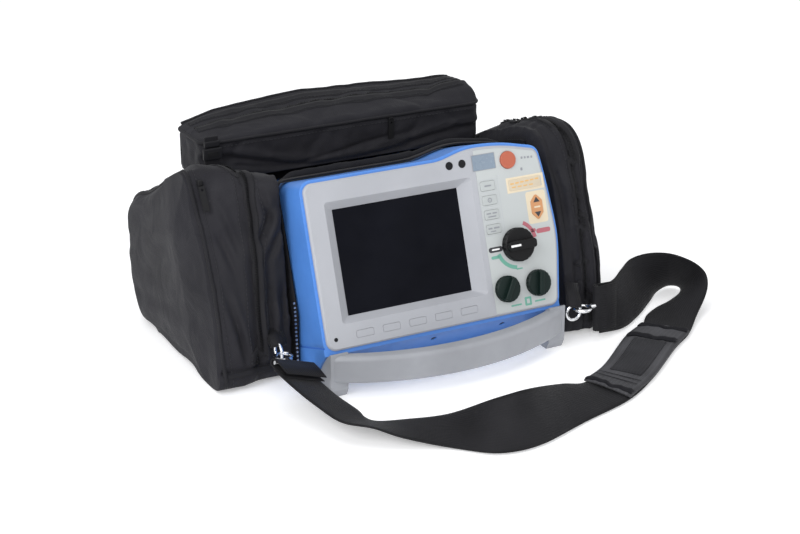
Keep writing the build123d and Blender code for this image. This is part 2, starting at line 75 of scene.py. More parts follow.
def mixc(nt, fac, a, b, mode="MIX"):
    n = nt.nodes.new("ShaderNodeMix")
    n.data_type = "RGBA"
    n.blend_type = mode
    for sock, v in ((n.inputs[0], fac), (n.inputs[6], a), (n.inputs[7], b)):
        if isinstance(v, bpy.types.NodeSocket):
            nt.links.new(v, sock)
        elif isinstance(v, (int, float)):
            sock.default_value = v
        else:
            sock.default_value = (*v[:3], 1.0)
    return n.outputs[2]


def ramp(nt, src, lo, hi, a=0.0, b=1.0):
    n = N_(nt, "ShaderNodeMapRange")
    n.inputs[1].default_value, n.inputs[2].default_value = lo, hi
    n.inputs[3].default_value, n.inputs[4].default_value = a, b
    nt.links.new(src, n.inputs[0])
    return n.outputs[0]


def math_(nt, op, a, b=None):
    n = N_(nt, "ShaderNodeMath", operation=op)
    for sock, v in ((n.inputs[0], a), (n.inputs[1], b)):
        if v is None:
            continue
        if isinstance(v, bpy.types.NodeSocket):
            nt.links.new(v, sock)
        else:
            sock.default_value = v
    return n.outputs[0]


def plastic(name, col, rough=0.45, grain=1400.0, bump=0.12, var=0.06, wear=0.10, spec=0.45, coat=0.0, dirt=0.10,
            metal=0.0):
    """Moulded plastic or metal: fine texture, uneven tone, handled roughness and slightly worn edges."""
    m, nt, b = new_mat(name)
    tc = N_(nt, "ShaderNodeTexCoord")
    obj = tc.outputs["Object"]
    big = N_(nt, "ShaderNodeTexNoise", i_Scale=14.0, i_Detail=4.0)
    mid = N_(nt, "ShaderNodeTexNoise", i_Scale=70.0, i_Detail=5.0)
    fine = N_(nt, "ShaderNodeTexNoise", i_Scale=grain, i_Detail=2.0)
    for n in (big, mid, fine):
        nt.links.new(obj, n.inputs["Vector"])
    dark = [c * (1 - var * 2.2) for c in col]
    light = [min(1, c * (1 + var) + 0.01 * var) for c in col]
    base = mixc(nt, ramp(nt, big.outputs[0], 0.35, 0.65), dark, light)
    base = mixc(nt, ramp(nt, mid.outputs[0], 0.55, 0.8, 0, dirt), base, [c * 0.6 for c in col])
    geo = N_(nt, "ShaderNodeNewGeometry")
    edge = ramp(nt, geo.outputs["Pointiness"], 0.53, 0.62, 0, wear)
    base = mixc(nt, edge, base, [min(1, c * 1.25 + 0.05) for c in col])
    nt.links.new(base, b.inputs["Base Color"])
    nt.links.new(ramp(nt, mid.outputs[0], 0.3, 0.7, rough - 0.06, rough + 0.10), b.inputs["Roughness"])
    b.inputs["Specular IOR Level"].default_value = spec
    b.inputs["Coat Weight"].default_value = coat
    b.inputs["Coat Roughness"].default_value = 0.25
    b.inputs["Metallic"].default_value = metal
    bm_ = N_(nt, "ShaderNodeBump", i_Strength=bump, i_Distance=0.0003)
    nt.links.new(fine.outputs[0], bm_.inputs["Height"])
    nt.links.new(bm_.outputs[0], b.inputs["Normal"])
    return m


def weave_height(nt, vec, pitch):
    """Plain weave seen on whichever way the cloth faces, in object space."""
    k = math.pi / pitch
    sep = N_(nt, "ShaderNodeSeparateXYZ")
    nt.links.new(vec, sep.inputs[0])
    s = [math_(nt, "SINE", math_(nt, "MULTIPLY", sep.outputs[i], k)) for i in range(3)]
    geo = N_(nt, "ShaderNodeNewGeometry")
    sn = N_(nt, "ShaderNodeSeparateXYZ")
    nt.links.new(geo.outputs["Normal"], sn.inputs[0])
    w = [math_(nt, "POWER", math_(nt, "ABSOLUTE", sn.outputs[i]), 3.0) for i in range(3)]
    tot = None
    for i in range(3):
        a, c = s[(i + 1) % 3], s[(i + 2) % 3]
        t = math_(nt, "MULTIPLY", math_(nt, "MULTIPLY", a, c), w[i])
        tot = t if tot is None else math_(nt, "ADD", tot, t)
    return tot


def fabric(name, col, pitch=0.0012, rough=0.70, sheen=0.035, bump=0.45, fold=0.45, lint=0.05):
    """Coated woven nylon: weave bump, soft sheen, tone variation, wrinkles and a little lint."""
    m, nt, b = new_mat(name)
    tc = N_(nt, "ShaderNodeTexCoord")
    obj = tc.outputs["Object"]
    big = N_(nt, "ShaderNodeTexNoise", i_Scale=9.0, i_Detail=4.0)
    wr = N_(nt, "ShaderNodeTexNoise", i_Scale=26.0, i_Detail=6.0, i_Distortion=0.8)
    fl = N_(nt, "ShaderNodeTexNoise", i_Scale=700.0, i_Detail=2.0)
    for n in (big, wr, fl):
        nt.links.new(obj, n.inputs["Vector"])
    h = weave_height(nt, obj, pitch)
    dark = [c * 0.72 for c in col]
    light = [c * 1.28 for c in col]
    base = mixc(nt, ramp(nt, big.outputs[0], 0.3, 0.7), dark, light)
    base = mixc(nt, ramp(nt, h, -0.6, 0.8, 0, 0.35), base, [c * 1.7 for c in col])
    base = mixc(nt, ramp(nt, fl.outputs[0], 0.66, 0.80, 0, lint), base, (0.25, 0.25, 0.27))
    nt.links.new(base, b.inputs["Base Color"])
    nt.links.new(ramp(nt, wr.outputs[0], 0.3, 0.7, rough - 0.08, rough + 0.12), b.inputs["Roughness"])
    b.inputs["Specular IOR Level"].default_value = 0.20
    b.inputs["Sheen Weight"].default_value = sheen
    b.inputs["Sheen Roughness"].default_value = 0.45
    b1 = N_(nt, "ShaderNodeBump", i_Strength=bump, i_Distance=0.00035)
    nt.links.new(h, b1.inputs["Height"])
    b2 = N_(nt, "ShaderNodeBump", i_Strength=fold, i_Distance=0.006)
    nt.links.new(wr.outputs[0], b2.inputs["Height"])
    nt.links.new(b1.outputs[0], b2.inputs["Normal"])
    nt.links.new(b2.outputs[0], b.inputs["Normal"])
    return m


def webbing(name, col, rib=0.0012, across=False, rough=0.66, sheen=0.04):
    """Woven webbing in the strap's own UV space: u runs along it and v across, both in metres."""
    m, nt, b = new_mat(name)
    tc = N_(nt, "ShaderNodeTexCoord")
    uv = tc.outputs["UV"]
    sep = N_(nt, "ShaderNodeSeparateXYZ")
    nt.links.new(uv, sep.inputs[0])
    su = math_(nt, "SINE", math_(nt, "MULTIPLY", sep.outputs[0], math.pi / (rib * 0.55)))
    sv = math_(nt, "SINE", math_(nt, "MULTIPLY", sep.outputs[1], math.pi / rib))
    h = math_(nt, "ADD", math_(nt, "MULTIPLY", su, sv), math_(nt, "MULTIPLY", sv, 0.8))
    nz = N_(nt, "ShaderNodeTexNoise", i_Scale=30.0, i_Detail=5.0)
    nt.links.new(tc.outputs["Object"], nz.inputs["Vector"])
    edge = math_(nt, "ABSOLUTE", sep.outputs[1])
    base = mixc(nt, ramp(nt, nz.outputs[0], 0.3, 0.7), [c * 0.75 for c in col], [c * 1.3 for c in col])
    base = mixc(nt, ramp(nt, h, -0.5, 1.2, 0, 0.35), base, [c * 1.6 for c in col])
    base = mixc(nt, ramp(nt, edge, 0.0215, 0.0235, 0, 0.5), base, [c * 0.5 for c in col])
    nt.links.new(base, b.inputs["Base Color"])
    b.inputs["Roughness"].default_value = rough
    b.inputs["Specular IOR Level"].default_value = 0.2
    b.inputs["Sheen Weight"].default_value = sheen
    b.inputs["Sheen Roughness"].default_value = 0.4
    b1 = N_(nt, "ShaderNodeBump", i_Strength=0.35, i_Distance=0.0003)
    nt.links.new(h, b1.inputs["Height"])
    b2 = N_(nt, "ShaderNodeBump", i_Strength=0.2, i_Distance=0.004)
    nt.links.new(nz.outputs[0], b2.inputs["Height"])
    nt.links.new(b1.outputs[0], b2.inputs["Normal"])
    nt.links.new(b2.outputs[0], b.inputs["Normal"])
    return m


M = {}
M["blue"] = plastic("blue_shell", (0.075, 0.235, 0.66), rough=0.36, coat=0.25, var=0.05, bump=0.05, wear=0.12)
M["grey"] = plastic("light_grey_shell", (0.375, 0.385, 0.415), rough=0.5, var=0.03, bump=0.10, dirt=0.05, wear=0.05, spec=0.35)
M["handle"] = plastic("handle_grey", (0.30, 0.31, 0.335), rough=0.46, var=0.05, bump=0.12, dirt=0.10, wear=0.10, spec=0.4)
M["black"] = plastic("black_shell", (0.009, 0.009, 0.011), rough=0.55, wear=0.04, spec=0.2)
M["film"] = plastic("overlay_film", (0.445, 0.47, 0.47), rough=0.42, bump=0.05, var=0.02, dirt=0.03, wear=0.02, spec=0.35)
M["lcd"] = plastic("display_window", (0.0034, 0.0038, 0.0068), rough=0.35, bump=0.01, var=0.10, spec=0.07, wear=0.0)
M["status"] = plastic("status_lens", (0.20, 0.25, 0.31), rough=0.25, bump=0.02, var=0.04, wear=0.0)
M["lens"] = plastic("smoked_lens", (0.008, 0.008, 0.010), rough=0.3, bump=0.02, wear=0.0, spec=0.2)
M["shock"] = plastic("shock_cap", (0.40, 0.105, 0.06), rough=0.4, coat=0.1, var=0.05, bump=0.04, spec=0.3)
M["yellow"] = plastic("charge_key", (0.58, 0.50, 0.38), rough=0.42, bump=0.05)
M["orange"] = plastic("energy_key", (0.56, 0.27, 0.12), rough=0.42, bump=0.05)
M["key"] = plastic("soft_key", (0.41, 0.435, 0.435), rough=0.5, bump=0.08)
M["knob"] = plastic("knob_black", (0.0045, 0.0045, 0.0052), rough=0.42, bump=0.12, wear=0.05, spec=0.22)
M["kgreen"] = plastic("knob_green", (0.0045, 0.013, 0.011), rough=0.42, bump=0.12, wear=0.06, spec=0.22)
M["white"] = plastic("white_inlay", (0.9, 0.9, 0.9), rough=0.45, bump=0.02)
M["pcb"] = plastic("solder_mask", (0.02, 0.16, 0.06), rough=0.35, grain=500)
M["chip"] = plastic("chip_package", (0.02, 0.02, 0.02), rough=0.5)
M["steel"] = plastic("plated_steel", (0.60, 0.61, 0.62), rough=0.3, metal=1.0, bump=0.06)
M["alu"] = plastic("sheet_aluminium", (0.72, 0.73, 0.74), rough=0.36, metal=1.0, bump=0.08)
M["psu"] = plastic("supply_cover", (0.30, 0.31, 0.33), rough=0.4, metal=0.6)
M["film_cap"] = plastic("capacitor_wrap", (0.45, 0.40, 0.18), rough=0.35)
M["paper"] = plastic("thermal_paper", (0.86, 0.84, 0.80), rough=0.7, bump=0.10, grain=3000)
M["rubber"] = plastic("roller_rubber", (0.02, 0.02, 0.02), rough=0.75, bump=0.2)
M["battery"] = plastic("battery_case", (0.055, 0.06, 0.07), rough=0.5)
M["screw"] = plastic("dark_screw", (0.06, 0.06, 0.065), rough=0.35, metal=0.8)
M["zip"] = plastic("zip_lacquer", (0.0045, 0.0045, 0.0055), rough=0.5, metal=0.1, wear=0.12, spec=0.2)
M["nickel"] = plastic("nickel_plate", (0.82, 0.83, 0.85), rough=0.16, metal=1.0, bump=0.04, dirt=0.2)
M["red_ink"] = plastic("ink_red", (0.42, 0.12, 0.15), rough=0.5, bump=0.02)
M["green_ink"] = plastic("ink_green", (0.13, 0.36, 0.28), rough=0.5, bump=0.02)
M["orange_ink"] = plastic("ink_orange", (0.66, 0.40, 0.14), rough=0.5, bump=0.02)
M["cream_ink"] = plastic("ink_cream", (0.66, 0.57, 0.42), rough=0.5, bump=0.02)
M["grey_ink"] = plastic("ink_grey", (0.24, 0.25, 0.27), rough=0.5, bump=0.02)
M["pale_ink"] = plastic("ink_pale_grey", (0.42, 0.44, 0.46), rough=0.5, bump=0.02)
M["dark_ink"] = plastic("ink_black", (0.03, 0.03, 0.035), rough=0.5, bump=0.02)
M["cloth"] = fabric("case_nylon", (0.0125, 0.0122, 0.0155))
# lighter copy of the case nylon: painted light for faces that catch the key light (not used on any mesh)
M["cloth_lit"] = fabric("case_nylon_painted_lit", (0.0155, 0.0150, 0.0185))
# darker copy of the case nylon: on the sleeve walls, cheeks, base, tongue and collar lip it is painted shade for the
# hollows round the device; on the strap pad ribs it is their own dark colour
M["cloth_dark"] = fabric("dark_nylon_and_painted_shade", (0.0058, 0.0058, 0.0080), sheen=0.02)
M["tape"] = fabric("binding_tape", (0.0105, 0.0103, 0.0125), pitch=0.0009, sheen=0.05, fold=0.1)
M["web"] = webbing("strap_webbing", (0.0085, 0.0083, 0.0100))
M["pad"] = webbing("grip_pad", (0.052, 0.052, 0.057), rib=0.0022, rough=0.7)
M["pad_dark"] = webbing("grip_inset", (0.019, 0.019, 0.022), rib=0.0016, rough=0.7)
M["thread"] = plastic("thread", (0.028, 0.028, 0.032), rough=0.7, bump=0.2, spec=0.1)

CAD_MATS = {
    "rear_case": "blue", "top_deck": "black", "front_bezel": "grey", "keypad_overlay": "film", "display_window": "lcd",
    "lcd_module": "steel", "status_window": "status", "indicator_lenses": "lens", "shock_button": "shock",
    "charge_button": "yellow", "energy_rocker": "orange", "selector_knob": "knob", "selector_pointer": "white",
    "output_knob": "kgreen", "rate_knob": "kgreen", "key_boards": "pcb", "key_domes": "steel", "selector_switch": "chip",
    "knob_encoders": "steel", "chassis_frame": "alu", "main_board": "pcb", "board_chips": "chip",
    "recorder_module": "black", "roll_spindle": "steel", "paper_roll": "paper", "platen_roller": "rubber",
    "recorder_door": "black", "battery_pack": "battery", "battery_well": "black", "hv_board": "pcb",
    "hv_capacitor": "film_cap", "power_supply": "psu", "speaker": "chip", "therapy_socket": "black",
    "mains_inlet": "black", "carry_handle": "handle", "case_screws": "screw", "rubber_feet": "rubber",
    "zip_pull_left": "zip", "zip_pull_pouch": "zip", "d_rings": "nickel", "snap_hooks": "nickel",
    "hook_gate_right": "nickel", "hook_gate_left": "nickel",
}
for i in range(1, 5):
    CAD_MATS[f"side_key_{i}"] = "key"
for i in range(1, 6):
    CAD_MATS[f"softkey_{i}"] = "grey"
for n, k in CAD_MATS.items():
    o = NODES[n]
    for s in o.material_slots:
        s.material = M[k]
    if not o.material_slots:
        o.data.materials.append(M[k])


# ------------------------------------------------------------------ mesh helpers
def make(name, verts, faces, mat, body="unit", smooth=True, uv=None):
    me = bpy.data.meshes.new(name)
    me.from_pydata([tuple(v) for v in verts], [], faces)
    me.materials.append(M[mat])
    if uv is not None:
        lay = me.uv_layers.new(name="UVMap")
        for p in me.polygons:
            for li in p.loop_indices:
                lay.data[li].uv = uv[me.loops[li].vertex_index]
    me.validate()
    me.update()
    if smooth:
        for p in me.polygons:
            p.use_smooth = True
    o = bpy.data.objects.new(name, me)
    SC.collection.objects.link(o)
    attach(o, body)
    return o


def spline(pts, per=8, closed=False):
    """Centripetal-like Catmull-Rom through points."""
    pts = [Vector(p) for p in pts]
    n = len(pts)
    out = []
    rng = range(n if closed else n - 1)
    for i in rng:
        if closed:
            p0, p1, p2, p3 = pts[(i - 1) % n], pts[i], pts[(i + 1) % n], pts[(i + 2) % n]
        else:
            p1, p2 = pts[i], pts[i + 1]
            p0 = pts[i - 1] if i > 0 else p1 * 2 - p2
            p3 = pts[i + 2] if i + 2 < n else p2 * 2 - p1
        for k in range(per):
            t = k / per
            out.append(0.5 * ((2 * p1) + (p2 - p0) * t + (2 * p0 - 5 * p1 + 4 * p2 - p3) * t * t
                              + (3 * p1 - p0 - 3 * p2 + p3) * t ** 3))
    if not closed:
        out.append(pts[-1])
    return out


def resample(pts, step, closed=False):
    pts = [Vector(p) for p in pts]
    if closed:
        pts = pts + [pts[0]]
    d = [0.0]
    for a, b in zip(pts, pts[1:]):
        d.append(d[-1] + (b - a).length)
    n = max(2, int(round(d[-1] / step)))
    out, j = [], 0
    for i in range(n if closed else n + 1):
        t = d[-1] * i / n
        while j < len(d) - 2 and d[j + 1] < t:
            j += 1
        f = 0 if d[j + 1] == d[j] else (t - d[j]) / (d[j + 1] - d[j])
        out.append(pts[j].lerp(pts[j + 1], min(1, max(0, f))))
    return out


def tube_geo(pts, r, sides=8, closed=False, squash=1.0, up=None):
    """Rings along a path; returns verts and faces."""
    n = len(pts)
    verts, faces = [], []
    prev = None
    for i, p in enumerate(pts):
        a = pts[(i - 1) % n] if (closed or i > 0) else pts[i]
        b = pts[(i + 1) % n] if (closed or i < n - 1) else pts[i]
        t = (b - a).normalized()
        if prev is None:
            ref = Vector(up) if up is not None else (Vector((0, 0, 1)) if abs(t.z) < 0.9 else Vector((1, 0, 0)))
            x = (ref - t * ref.dot(t)).normalized()
        else:
            x = (prev - t * prev.dot(t)).normalized()
        prev = x
        y = t.cross(x)
        rr = r[i] if isinstance(r, (list, tuple)) else r
        for k in range(sides):
            an = 2 * math.pi * k / sides
            verts.append(p + x * math.cos(an) * rr * squash + y * math.sin(an) * rr)
    m = n if closed else n - 1
    for i in range(m):
        for k in range(sides):
            a, b = i * sides + k, i * sides + (k + 1) % sides
            c, d = ((i + 1) % n) * sides + (k + 1) % sides, ((i + 1) % n) * sides + k
            faces.append((a, b, c, d))
    if not closed:
        faces.append(tuple(range(sides))[::-1])
        faces.append(tuple((n - 1) * sides + k for k in range(sides)))
    return verts, faces


def tube(name, pts, r, mat, body="unit", sides=8, closed=False, squash=1.0):
    v, f = tube_geo(pts, r, sides, closed, squash)
    return make(name, v, f, mat, body)


def join_geo(parts):
    V, F = [], []
    for v, f in parts:
        o = len(V)
        V += list(v)
        F += [tuple(i + o for i in g) for g in f]
    return V, F


def bvh_of(o):
    me = o.data
    return BVHTree.FromPolygons([v.co.copy() for v in me.vertices], [tuple(p.vertices) for p in me.polygons])


def drape(pts, tree, lift=0.0):
    """Nearest surface points with normals, lifted."""
    out = []
    for p in pts:
        loc, nor, idx, dist = tree.find_nearest(Vector(p))
        out.append((loc + nor * lift, nor))
    return out


def band_on(name, path, tree, width, thick, mat, body="unit", lift=0.0003, rows=4, crown=0.0):
    """A tape lying on a surface along a path: a thin closed ribbon that follows the surface."""
    dr = drape(path, tree)
    n = len(dr)
    top, uv = [], []
    for i, (p, nr) in enumerate(dr):
        a = dr[max(0, i - 1)][0]
        b = dr[min(n - 1, i + 1)][0]
        t = (b - a).normalized()
        side = t.cross(nr).normalized()
        row = []
        for k in range(rows + 1):
            s = (k / rows - 0.5) * width
            q, qn, _, _ = tree.find_nearest(p + side * s)
            h = lift + thick + crown * (1 - (2 * k / rows - 1) ** 2)
            row.append((q + qn * h, q + qn * lift * 0.2))
        top.append(row)
    V, F = [], []
    R = rows + 1
    for row in top:
        V += [r[0] for r in row]
        V += [r[1] for r in row]
    L = 2 * R
    for i in range(n - 1):
        for k in range(rows):
            a = i * L + k
            F.append((a, a + 1, a + L + 1, a + L))
            c = i * L + R + k
            F.append((c, c + L, c + L + 1, c + 1))
        F.append((i * L, i * L + L, i * L + L + R, i * L + R))
        e = i * L + rows
        F.append((e, e + R, e + L + R, e + L))
    F.append(tuple(range(0, R)) + tuple(range(2 * R - 1, R - 1, -1)))
    e = (n - 1) * L
    F.append(tuple(e + k for k in range(rows, -1, -1)) + tuple(e + R + k for k in range(0, R)))
    return make(name, V, F, mat, body)


def stitches(name, path, tree, step=0.0042, length=0.0028, r=0.00042, lift=0.0004, body="unit", mat="thread"):
    parts = []
    pts = resample(path, step)
    dr = drape(pts, tree, lift)
    for i in range(len(dr) - 1):
        a, b = dr[i][0], dr[i + 1][0]
        t = b - a
        if t.length < 1e-6:
            continue
        t.normalize()
        mid = (a + b) / 2
        v, f = tube_geo([mid - t * length / 2, mid - t * length * 0.25 + dr[i][1] * 0.0001, mid + t * length * 0.25
                         + dr[i][1] * 0.0001, mid + t * length / 2], [r * 0.5, r, r, r * 0.5], 5)
        parts.append((v, f))
    V, F = join_geo(parts)
    return make(name, V, F, mat, body)


def inflate(name, node, voxel=0.005, pressure=4.0, cap=0.008, shrink=0.002, mat="cloth", body=None, keep=None,
            frames=20, subdiv=1, stiff=15.0):
    """A padded fabric piece: the CAD solid remeshed, slightly shrunk, blown up by a cloth simulation and frozen."""
    src = NODES[node]
    me = src.data.copy()
    o = bpy.data.objects.new(name, me)
    SC.collection.objects.link(o)
    bpy.context.view_layer.objects.active = o
    rm = o.modifiers.new("r", "REMESH")
    rm.mode = "VOXEL"
    rm.voxel_size = voxel
    bpy.context.view_layer.update()
    dg = bpy.context.evaluated_depsgraph_get()
    me2 = bpy.data.meshes.new_from_object(o.evaluated_get(dg))
    o.modifiers.clear()
    o.data = me2
    bm = bmesh.new()
    bm.from_mesh(me2)
    bm.normal_update()
    for v in bm.verts:
        v.co -= v.normal * shrink
    for _ in range(3):
        bmesh.ops.smooth_vert(bm, verts=bm.verts, factor=0.5, use_axis_x=True, use_axis_y=True, use_axis_z=True)
    bm.to_mesh(me2)
    bm.free()
    me2.update()
    rest = np.array([v.co[:] for v in me2.vertices])
    cl = o.modifiers.new("c", "CLOTH")
    s = cl.settings
    s.quality = 4
    s.mass = 0.3
    s.use_pressure = True
    s.uniform_pressure_force = pressure
    s.tension_stiffness = s.compression_stiffness = stiff
    s.shear_stiffness = 8
    s.bending_stiffness = 0.8
    s.effector_weights.gravity = 0
    cl.collision_settings.use_collision = False
    cl.collision_settings.use_self_collision = False
    cl.point_cache.frame_start = 1
    cl.point_cache.frame_end = frames
    for f in range(1, frames + 1):
        SC.frame_set(f)
    dg = bpy.context.evaluated_depsgraph_get()
    ev = o.evaluated_get(dg)
    co = np.array([v.co[:] for v in ev.data.vertices])
    o.modifiers.clear()
    SC.frame_set(1)
    d = co - rest
    ln = np.linalg.norm(d, axis=1)
    f = np.where(ln > cap, cap / np.maximum(ln, 1e-9), 1.0)
    rest = rest + d * f[:, None]
    if keep:
        rest = keep(rest)
    for v, c in zip(o.data.vertices, rest):
        v.co = c
    if subdiv:
        sd = o.modifiers.new("s", "SUBSURF")
        sd.levels = sd.render_levels = subdiv
        dg = bpy.context.evaluated_depsgraph_get()
        me3 = bpy.data.meshes.new_from_object(o.evaluated_get(dg))
        o.modifiers.clear()
        o.data = me3
    o.data.materials.clear()
    o.data.materials.append(M[mat])
    for p in o.data.polygons:
        p.use_smooth = True
        p.material_index = 0
    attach(o, body or "unit")
    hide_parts(node)
    return o


def sculpt(o, fn):
    """Move every vertex by fn(co, normal) -> offset."""
    me = o.data
    nr = [v.normal.copy() for v in me.vertices]
    for v, n in zip(me.vertices, nr):
        d = fn(v.co, n)
        if d is not None:
            v.co = v.co + d
    me.update()


def sstep(a, b, x):
    t = min(1, max(0, (x - a) / (b - a)))
    return t * t * (3 - 2 * t)


def crease(d, w):
    """Narrow valley profile: 1 at the line, 0 beyond w."""
    return math.exp(-(d / w) ** 2)


def nz(p, s, seed=0.0):
    return noise.noise(Vector((p.x * s + seed, p.y * s - seed * 0.7, p.z * s + seed * 1.3)))


# ------------------------------------------------------------------ side pockets
LP = [(22, 0.4), (25, 45), (36, 90), (53, 134), (76, 172), (96, 197), (122, 193), (160, 172), (205, 147), (236, 128),
      (251, 102), (256, 74), (251, 44), (240, 17), (228, 0.4), (180, 0.4), (120, 0.4), (70, 0.4)]
RP = [(-24, 0.4), (-23, 40), (-10, 95), (8, 145), (22, 178), (38, 197), (60, 203), (88, 199), (125, 186), (168, 171),
      (206, 150), (230, 115), (240, 70), (236, 30), (228, 0.4), (180, 0.4), (120, 0.4), (60, 0.4), (10, 0.4)]


def ring_at(pts, x, s, c, per=8):
    q = [mm(x, c[0] + (y - c[0]) * s, max(0.4, c[1] + (z - c[1]) * s)) for y, z in pts]
    return spline(q, per, closed=True)


def keep_left(r):
    r[:, 0] = np.clip(r[:, 0], -0.2285, -0.1383)
    r[:, 2] = np.maximum(r[:, 2], 0.0006)
    m = (r[:, 2] > 0.152) & (r[:, 0] > -0.1700) & (r[:, 1] > 0.1600)
    r[m, 1] = np.minimum(r[m, 1], 0.1650)
    return r


def keep_right(r):
    r[:, 0] = np.clip(r[:, 0], 0.1383, 0.1965)
    r[:, 2] = np.maximum(r[:, 2], 0.0006)
    m = (r[:, 2] > 0.152) & (r[:, 0] < 0.1500) & (r[:, 1] > 0.1600)
    r[m, 1] = np.minimum(r[m, 1], 0.1650)
    return r


left = inflate("left_pocket_fabric", "left_pocket", voxel=0.0042, cap=0.0026, keep=keep_left, mat="cloth")
right = inflate("right_pocket_fabric", "right_pocket", voxel=0.0042, cap=0.0042, keep=keep_right, mat="cloth")


def seg(px, pz, x0, z0, x1, z1):
    """Distance from a point to a segment in the x-z plane, and the share along it."""
    dx, dz = x1 - x0, z1 - z0
    t = ((px - x0) * dx + (pz - z0) * dz) / (dx * dx + dz * dz)
    t = min(1.0, max(0.0, t))
    return math.hypot(px - x0 - t * dx, pz - z0 - t * dz), t


def lfront(z):
    """Depth in mm of the front of the left pocket at height z."""
    return float(np.interp(z, [0.4, 45, 90, 134, 172, 197], [22, 25, 36, 53, 76, 96]))


def ltop(y):
    """Height in mm of the top of the left pocket at depth y."""
    return float(np.interp(y, [22, 76, 96, 122, 160, 205, 236, 251], [120, 172, 197, 193, 172, 147, 128, 102]))


def lshift(p):
    """The gusset of the left pocket leans forward towards the sleeve and spreads at its foot."""
    x, y, z = p.x * 1000, p.y * 1000, p.z * 1000
    w = sstep(125, 0, y - lfront(z))
    dy = -float(np.interp(z, [0, 15, 79, 137, 192], [5, 6, 8, 24, 50])) * sstep(-200, -143, x) * w
    dy -= 8.0 * sstep(55, 4, z) * sstep(40, 0, y - lfront(z)) * sstep(-165, -195, x)
    return dy * 0.001


def left_form(p, n):
    """Crisp seam where the outer panel meets the gusset, bellied out further back, foot spread on the floor."""
    x, y, z = p.x * 1000, p.y * 1000, p.z * 1000
    q = Vector((0, lshift(p), 0))
    if x < -196:
        d = min(y - lfront(z), (ltop(y) - z) * 0.85)
        base = 213.0 + 8.0 * sstep(90, 225, y)
        lim = -base - (225.5 - base) * sstep(-4, 62, d) ** 0.8
        foot = sstep(75, 0, z) * sstep(238, 165, y) * sstep(-196, -203, x)
        xc = max(x, lim)
        # the rear top corner is drawn out to a point
        q.y += 0.006 * sstep(195, 235, y) * sstep(85, 115, z)
        q.x = (xc * (1 - foot) + min(xc, -218.5) * foot - x) * 0.001
        line = float(np.interp(y, [90, 98, 236, 262], [197.5, 196.5, 129.0, 112.0]))
        tab = sstep(-212, -208, x) * sstep(-194, -198.5, x) * sstep(156, 161, z) * sstep(196, 190, z)
        flat = float(np.interp(z, [156, 160, 188, 194], [66.9, 69.0, 85.5, 90.0])) + 1.3
        if tab > 0 and y < flat:
            q.y += (flat - y) * 0.001 * tab
        if z > line and y > 84:
            q.z = (line - z) * 0.001 * sstep(-193, -207, x)
    return q


LFOLDS = (  # x0, z0, x1, z1, width, depth: creases on the front gusset of the left pocket
    (-198, 96, -189, 26, 3.0, 3.0), (-192, 70, -188, 24, 2.4, 2.4), (-163, 92, -160, 26, 3.2, 3.0),
    (-158, 120, -163, 40, 2.6, 2.2), (-150, 168, -166, 134, 3.0, 3.4), (-144, 150, -160, 118, 2.6, 2.4),
    (-146, 100, -151, 36, 3.0, 2.4), (-190, 176, -180, 128, 3.0, 1.8), (-196, 150, -186, 104, 2.6, 1.6),
    (-160, 186, -152, 150, 2.6, 2.2),
)


def left_folds(p, n):
    x, y, z = p.x * 1000, p.y * 1000, p.z * 1000
    if z < 1.2:
        return None
    front = sstep(0.25, 0.75, -n.y) * sstep(-137, -143, x)
    f2 = max(front, sstep(0.3, 0.8, n.z) * (1 if y < 160 else 0))
    d = 0.0
    if f2 > 0:
        zipx = -176 + (z - 20) * 0.045
        d -= 2.6 * f2 * crease(x - zipx, 3.4)
        d += 1.5 * f2 * crease(x - zipx - 8, 4.0) + 1.3 * f2 * crease(x - zipx + 8, 4.0)
        wx, wz = x + 3 * nz(p, 18, 5), z + 4 * nz(p, 15, 8)
        for x0, z0, x1, z1, w, dep in LFOLDS:
            dd, t = seg(wx, wz, x0, z0, x1, z1)
            k = math.sin(math.pi * min(1, max(0, t * 0.9 + 0.05)))
            d += front * k * (-dep * math.exp(-(dd / w) ** 2) + 0.75 * dep * math.exp(-((dd - 2.1 * w) / (1.3 * w)) ** 2))
        d += 2.2 * front * math.exp(-((z - 58) / 26) ** 2) * math.exp(-((x + 196) / 12) ** 2)
        d -= 2.6 * front * crease(z - 21, 2.2)
        d += 1.6 * front * crease(z - 13, 6)
    side = sstep(0.55, 0.95, -n.x)
    d += side * (1.0 * nz(p, 9, 1) + 0.5 * nz(p, 20, 2)) * sstep(0, 40, z)
    if side > 0:
        for y0, z0, y1, z1, w, dep in ((60, 60, 210, 36, 8, 1.6), (90, 150, 170, 70, 9, 1.2), (150, 150, 222, 92, 8, 1.2)):
            dd, t = seg(y + 6 * nz(p, 12, 4), z, y0, z0, y1, z1)
            d -= side * dep * math.exp(-(dd / w) ** 2)
    d += (1 - side) * (1.3 * nz(p, 16, 7) + 0.9 * nz(p, 42, 9)) * (1.0 if x > -200 else 0.35)
    d *= sstep(0, 14, z)
    q = n * (d * 0.001)
    if x > -139.5:
        q.x = min(q.x, 0)
    return q


RFOLDS = ((152, 150, 149, 70, 2.6, 2.6), (158, 120, 156, 40, 2.8, 2.2), (175, 168, 178, 110, 2.6, 2.4),
          (182, 110, 180, 40, 3.0, 2.6), (146, 60, 148, 22, 2.6, 2.2), (172, 90, 170, 30, 2.6, 2.0),
          (144, 180, 150, 140, 2.6, 1.8))


